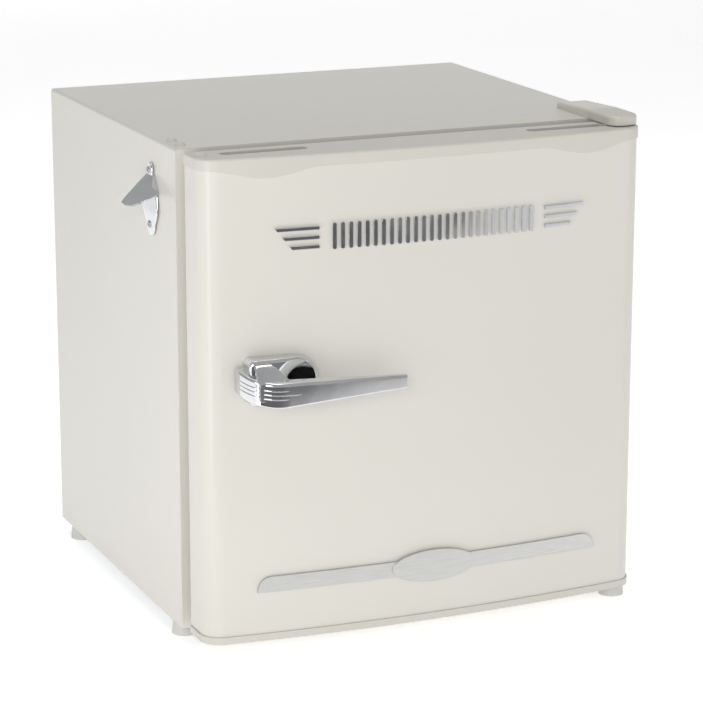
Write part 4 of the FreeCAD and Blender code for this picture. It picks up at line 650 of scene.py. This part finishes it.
def screw_head(name, radius, height):
    """A domed head in its own frame, its flat underside at zero and its dome along +Z."""
    slices, turns = 9, 32
    angles = [2 * math.pi * turn / turns for turn in range(turns)]
    rings = [[Vector((radius * math.cos(a), radius * math.sin(a), 0)) for a in angles]]
    for slice_ in range(slices):
        share = 1 - slice_ / slices
        ring = []
        for angle in angles:
            x, y = radius * share * math.cos(angle), radius * share * math.sin(angle)
            dome = height * (0.35 + 0.65 * math.sqrt(max(0.0, 1 - share ** 2)))
            in_slot = min(abs(x), abs(y)) < radius * SLOT_HALF
            depth = height * SLOT_DEPTH * max(0.0, 1 - (share / SLOT_REACH) ** 4)
            sunk = depth if in_slot else 0.0
            ring.append(Vector((x, y, dome - sunk)))
        rings.append(ring)
    return skin_rings(name, rings)


def place_head(piece, where, axis):
    """Moves a head to its hole, with its dome along the axis."""
    turn = Vector((0, 0, 1)).rotation_difference(Vector(axis)).to_matrix().to_4x4()
    piece.data.transform(Matrix.Translation(where) @ turn)
    return piece


# %% [markdown]
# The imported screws' outer boxes say where the heads go. Six hold the back panel, three along its
# top and three along its bottom, and two hold the opener, one above the other.

# %% Heads in their holes
BACK_RADIUS, BACK_HEIGHT = 0.0035, 0.0015
OPENER_RADIUS, OPENER_HEIGHT = 0.0036, 0.0018
OPENER_EDGE, OPENER_PLATE = 0.0042, 0.0032

screw_rows = []
back_low, back_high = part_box("back_screws")
for x in (back_low.x + BACK_RADIUS, (back_low.x + back_high.x) / 2, back_high.x - BACK_RADIUS):
    for z in (back_low.z + BACK_RADIUS, back_high.z - BACK_RADIUS):
        where = Vector((x, cabinet_high.y, z))
        screw_rows.append(("back", where, (0, 1, 0), BACK_RADIUS, BACK_HEIGHT))
opener_low, opener_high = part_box("opener_screws")
opener_y = (opener_low.y + opener_high.y) / 2
for z in (opener_low.z + OPENER_EDGE, opener_high.z - OPENER_EDGE):
    where = Vector((cabinet_low.x - OPENER_PLATE, opener_y, z))
    screw_rows.append(("opener", where, (-1, 0, 0), OPENER_RADIUS, OPENER_HEIGHT))
heads = []
for number, (group, where, axis, radius, height) in enumerate(screw_rows):
    head = place_head(screw_head(f"screw_{group}_{number}", radius, height), where, axis)
    heads.append(install(head, "cabinet", "screw_steel", f"{group}_screws", soft_angle=40.0))
print("screw heads:", len(heads))

# %% [markdown]
# ## Pressed beads on the back panel
# A flat thin sheet would drum, so the maker presses long shallow beads into it. Each is a low
# rounded bar with half-round ends, standing less than two millimetres proud.

# %% Beads
BEADS = 4
BEAD_LENGTH, BEAD_WIDTH, BEAD_HEIGHT = 0.33, 0.014, 0.0014


def bead(name, length, width, height, centre):
    """A low half-round bar along X that stands on a face towards +Y."""
    rings = []
    stations, turns = 24, 12
    for step in range(stations + 1):
        share = 2 * step / stations - 1
        along = math.copysign(1 - (1 - abs(share)) ** 2, share) * length / 2
        past = max(0.0, abs(along) - (length / 2 - width / 2)) / (width / 2)
        size = math.sqrt(max(0.0004, 1 - past ** 2))
        ring = []
        for turn in range(turns):
            angle = 2 * math.pi * turn / turns
            ring.append(centre + Vector((along, max(-0.2, math.sin(angle)) * height * size,
                                         math.cos(angle) * width / 2 * size)))
        rings.append(ring)
    return skin_rings(name, rings)


panel_low, panel_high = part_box("back_panel")
panel_middle = (panel_low.x + panel_high.x) / 2
for number in range(BEADS):
    height_share = (1 + number) / (BEADS + 1)
    level = panel_low.z + (panel_high.z - panel_low.z) * height_share
    centre = Vector((panel_middle, panel_high.y, level))
    piece = bead(f"back_bead_{number}", BEAD_LENGTH, BEAD_WIDTH, BEAD_HEIGHT, centre)
    install(piece, "cabinet", "zinc_steel")
print("beads:", BEADS)

# %% [markdown]
# ## A white floor that becomes a wall
# A photographer's paper sweep has no corner, so nothing behind the object shows a line. Its white
# also glows a little, which keeps it even where the lamps fall off.

# %% The sweep
FLOOR_FRONT, WALL_START = -6.0, 4.7
BEND, WALL_TOP = 0.9, 1.3
HALF_WIDTH = 9.0
GLOW = 0.47


def sweep():
    """A floor that turns up into a wall behind, in one sheet."""
    bend = [math.radians(degrees) for degrees in range(0, 91, 6)]
    profile = [(FLOOR_FRONT, 0.0)]
    profile += [(WALL_START + BEND * math.sin(a), BEND - BEND * math.cos(a)) for a in bend]
    profile.append((WALL_START + BEND, WALL_TOP))
    mesh = bpy.data.meshes.new("sweep")
    points = [Vector((x, y, z)) for y, z in profile for x in (-HALF_WIDTH, HALF_WIDTH)]
    faces = [(2 * k, 2 * k + 1, 2 * k + 3, 2 * k + 2) for k in range(len(profile) - 1)]
    mesh.from_pydata(points, [], faces)
    return bpy.data.objects.new("sweep", mesh)


def paper_white():
    """Matt white paper with the cloudiness of its fibre."""
    paint = Paint("paper_white")
    fibre = paint.cloud(4.0)
    tone = paint.blend(fibre, colour(250, 250, 250), colour(253, 253, 253))
    return paint.shade(Base_Color=tone, Roughness=0.9, Specular_IOR_Level=0.0,
                       Emission_Color=tone, Emission_Strength=GLOW)


backdrop = sweep()
bpy.context.scene.collection.objects.link(backdrop)
backdrop.data.materials.append(paper_white())
for face in backdrop.data.polygons:
    face.use_smooth = True
print("sweep:", len(backdrop.data.polygons), "faces")

# %% [markdown]
# ## A card for the chrome to reflect
# Chrome is only as dark as what it reflects. A graded grey card lies on the floor in front. Only
# reflections see it: it is hidden from the camera, and it neither shades nor tints the rest. The
# lever and the badge find it below them, so that their faces get a tone of their own.

# %% Reflection card
CARD_LIFT = 0.004
CARD_TURN = Matrix.Rotation(math.radians(40.0), 4, "Z")
CARD_ORIGIN = Matrix.Translation((0.0, -1.14, CARD_LIFT))
CARD_CORNERS = ((-1.7, -0.6), (1.6, -0.6), (1.9, -2.6), (-1.7, -2.6))


def reflection_card():
    """A flat card whose own X runs from dark to light."""
    holder = bpy.data.objects.new("reflection_card", bpy.data.meshes.new("reflection_card"))
    holder.matrix_world = CARD_ORIGIN @ CARD_TURN
    back = holder.matrix_world.inverted()
    points = [back @ Vector((x, y, CARD_LIFT)) for x, y in CARD_CORNERS]
    holder.data.from_pydata(points, [], [(0, 1, 2, 3)])
    return holder


def graded_grey():
    """Dark grey over the first half, then rising to white."""
    paint = Paint("graded_grey")
    along = paint.node("ShaderNodeSeparateXYZ", None, {0: paint.place()})
    share = paint.ramp(along + 0.5, (0.45, 0.12), (0.68, 0.24), (0.76, 0.8), (0.84, 1.0))
    return paint.shade(Base_Color=paint.blend(share, colour(78, 78, 80), colour(252, 252, 252)),
                       Roughness=0.9, Specular_IOR_Level=0.0)


card = reflection_card()
bpy.context.scene.collection.objects.link(card)
card.data.materials.append(graded_grey())
card.visible_camera = False
card.visible_diffuse = False
card.visible_shadow = False
print("card:", len(CARD_CORNERS), "corners")

# %% [markdown]
# ## Lights
# A large soft key at the left front and a wide one overhead light the cream almost evenly. A weaker
# one at the right keeps the far edge from going grey. A narrow strip close to the door's left edge
# gives its rounding a bright line. The even white of the world fills the shadows.

# %% Lamps and world
SKY = 0.43
# Name, place, aim, width, height and power.
SOFTBOXES = (
    ("key_softbox", (-1.35, -2.35, 0.95), (-0.1, -0.1, 0.3), 1.0, 1.3, 21.0),
    ("top_softbox", (0.2, 0.4, 2.6), (0, 0.1, 0.4), 1.6, 1.6, 20.0),
    ("edge_strip", (-0.76, -0.56, 0.27), (-0.22, -0.05, 0.25), 0.12, 0.62, 0.9),
    ("right_softbox", (2.0, -2.0, 0.8), (0, 0, 0.25), 0.9, 1.4, 6.0),
)

scene = bpy.context.scene
world = bpy.data.worlds.new("studio")
world.use_nodes = True
background = world.node_tree.nodes["Background"]
background.inputs["Color"].default_value = (1.0, 1.0, 1.0, 1.0)
background.inputs["Strength"].default_value = SKY
scene.world = world


def softbox(name, where, aim, width, height, power):
    """A rectangular lamp at a place, turned to face its aim."""
    lamp = bpy.data.lights.new(name, "AREA")
    lamp.shape = "RECTANGLE"
    lamp.size, lamp.size_y, lamp.energy = width, height, power
    holder = bpy.data.objects.new(name, lamp)
    holder.location = where
    holder.rotation_euler = (Vector(aim) - Vector(where)).to_track_quat("-Z", "Y").to_euler()
    scene.collection.objects.link(holder)
    return holder


for row in SOFTBOXES:
    softbox(*row)
print("lamps:", len(SOFTBOXES))

# %% [markdown]
# ## Camera
# A long lens from the left and a little above keeps the box's edges nearly parallel and shows its
# front, its left side and its top. The Standard view transform shows white paper as white.

# %% A long lens
CAMERA_PLACE = Vector((-1.0818, -2.4046, 0.9458)) / MM
CAMERA_YAW = 0.4039
CAMERA_PITCH = 0.2527
LENS, SENSOR = 144.2, 36.0

camera = bpy.data.cameras.new("camera")
camera.lens = LENS
camera.sensor_width = SENSOR
camera.clip_start = 0.05
holder = bpy.data.objects.new("camera", camera)
holder.location = spot(*CAMERA_PLACE)
look = Vector((math.sin(CAMERA_YAW) * math.cos(CAMERA_PITCH),
               math.cos(CAMERA_YAW) * math.cos(CAMERA_PITCH), -math.sin(CAMERA_PITCH)))
holder.rotation_euler = look.to_track_quat("-Z", "Y").to_euler()
scene.collection.objects.link(holder)
scene.camera = holder
scene.view_settings.view_transform = "Standard"
print("camera lens", LENS, "mm")
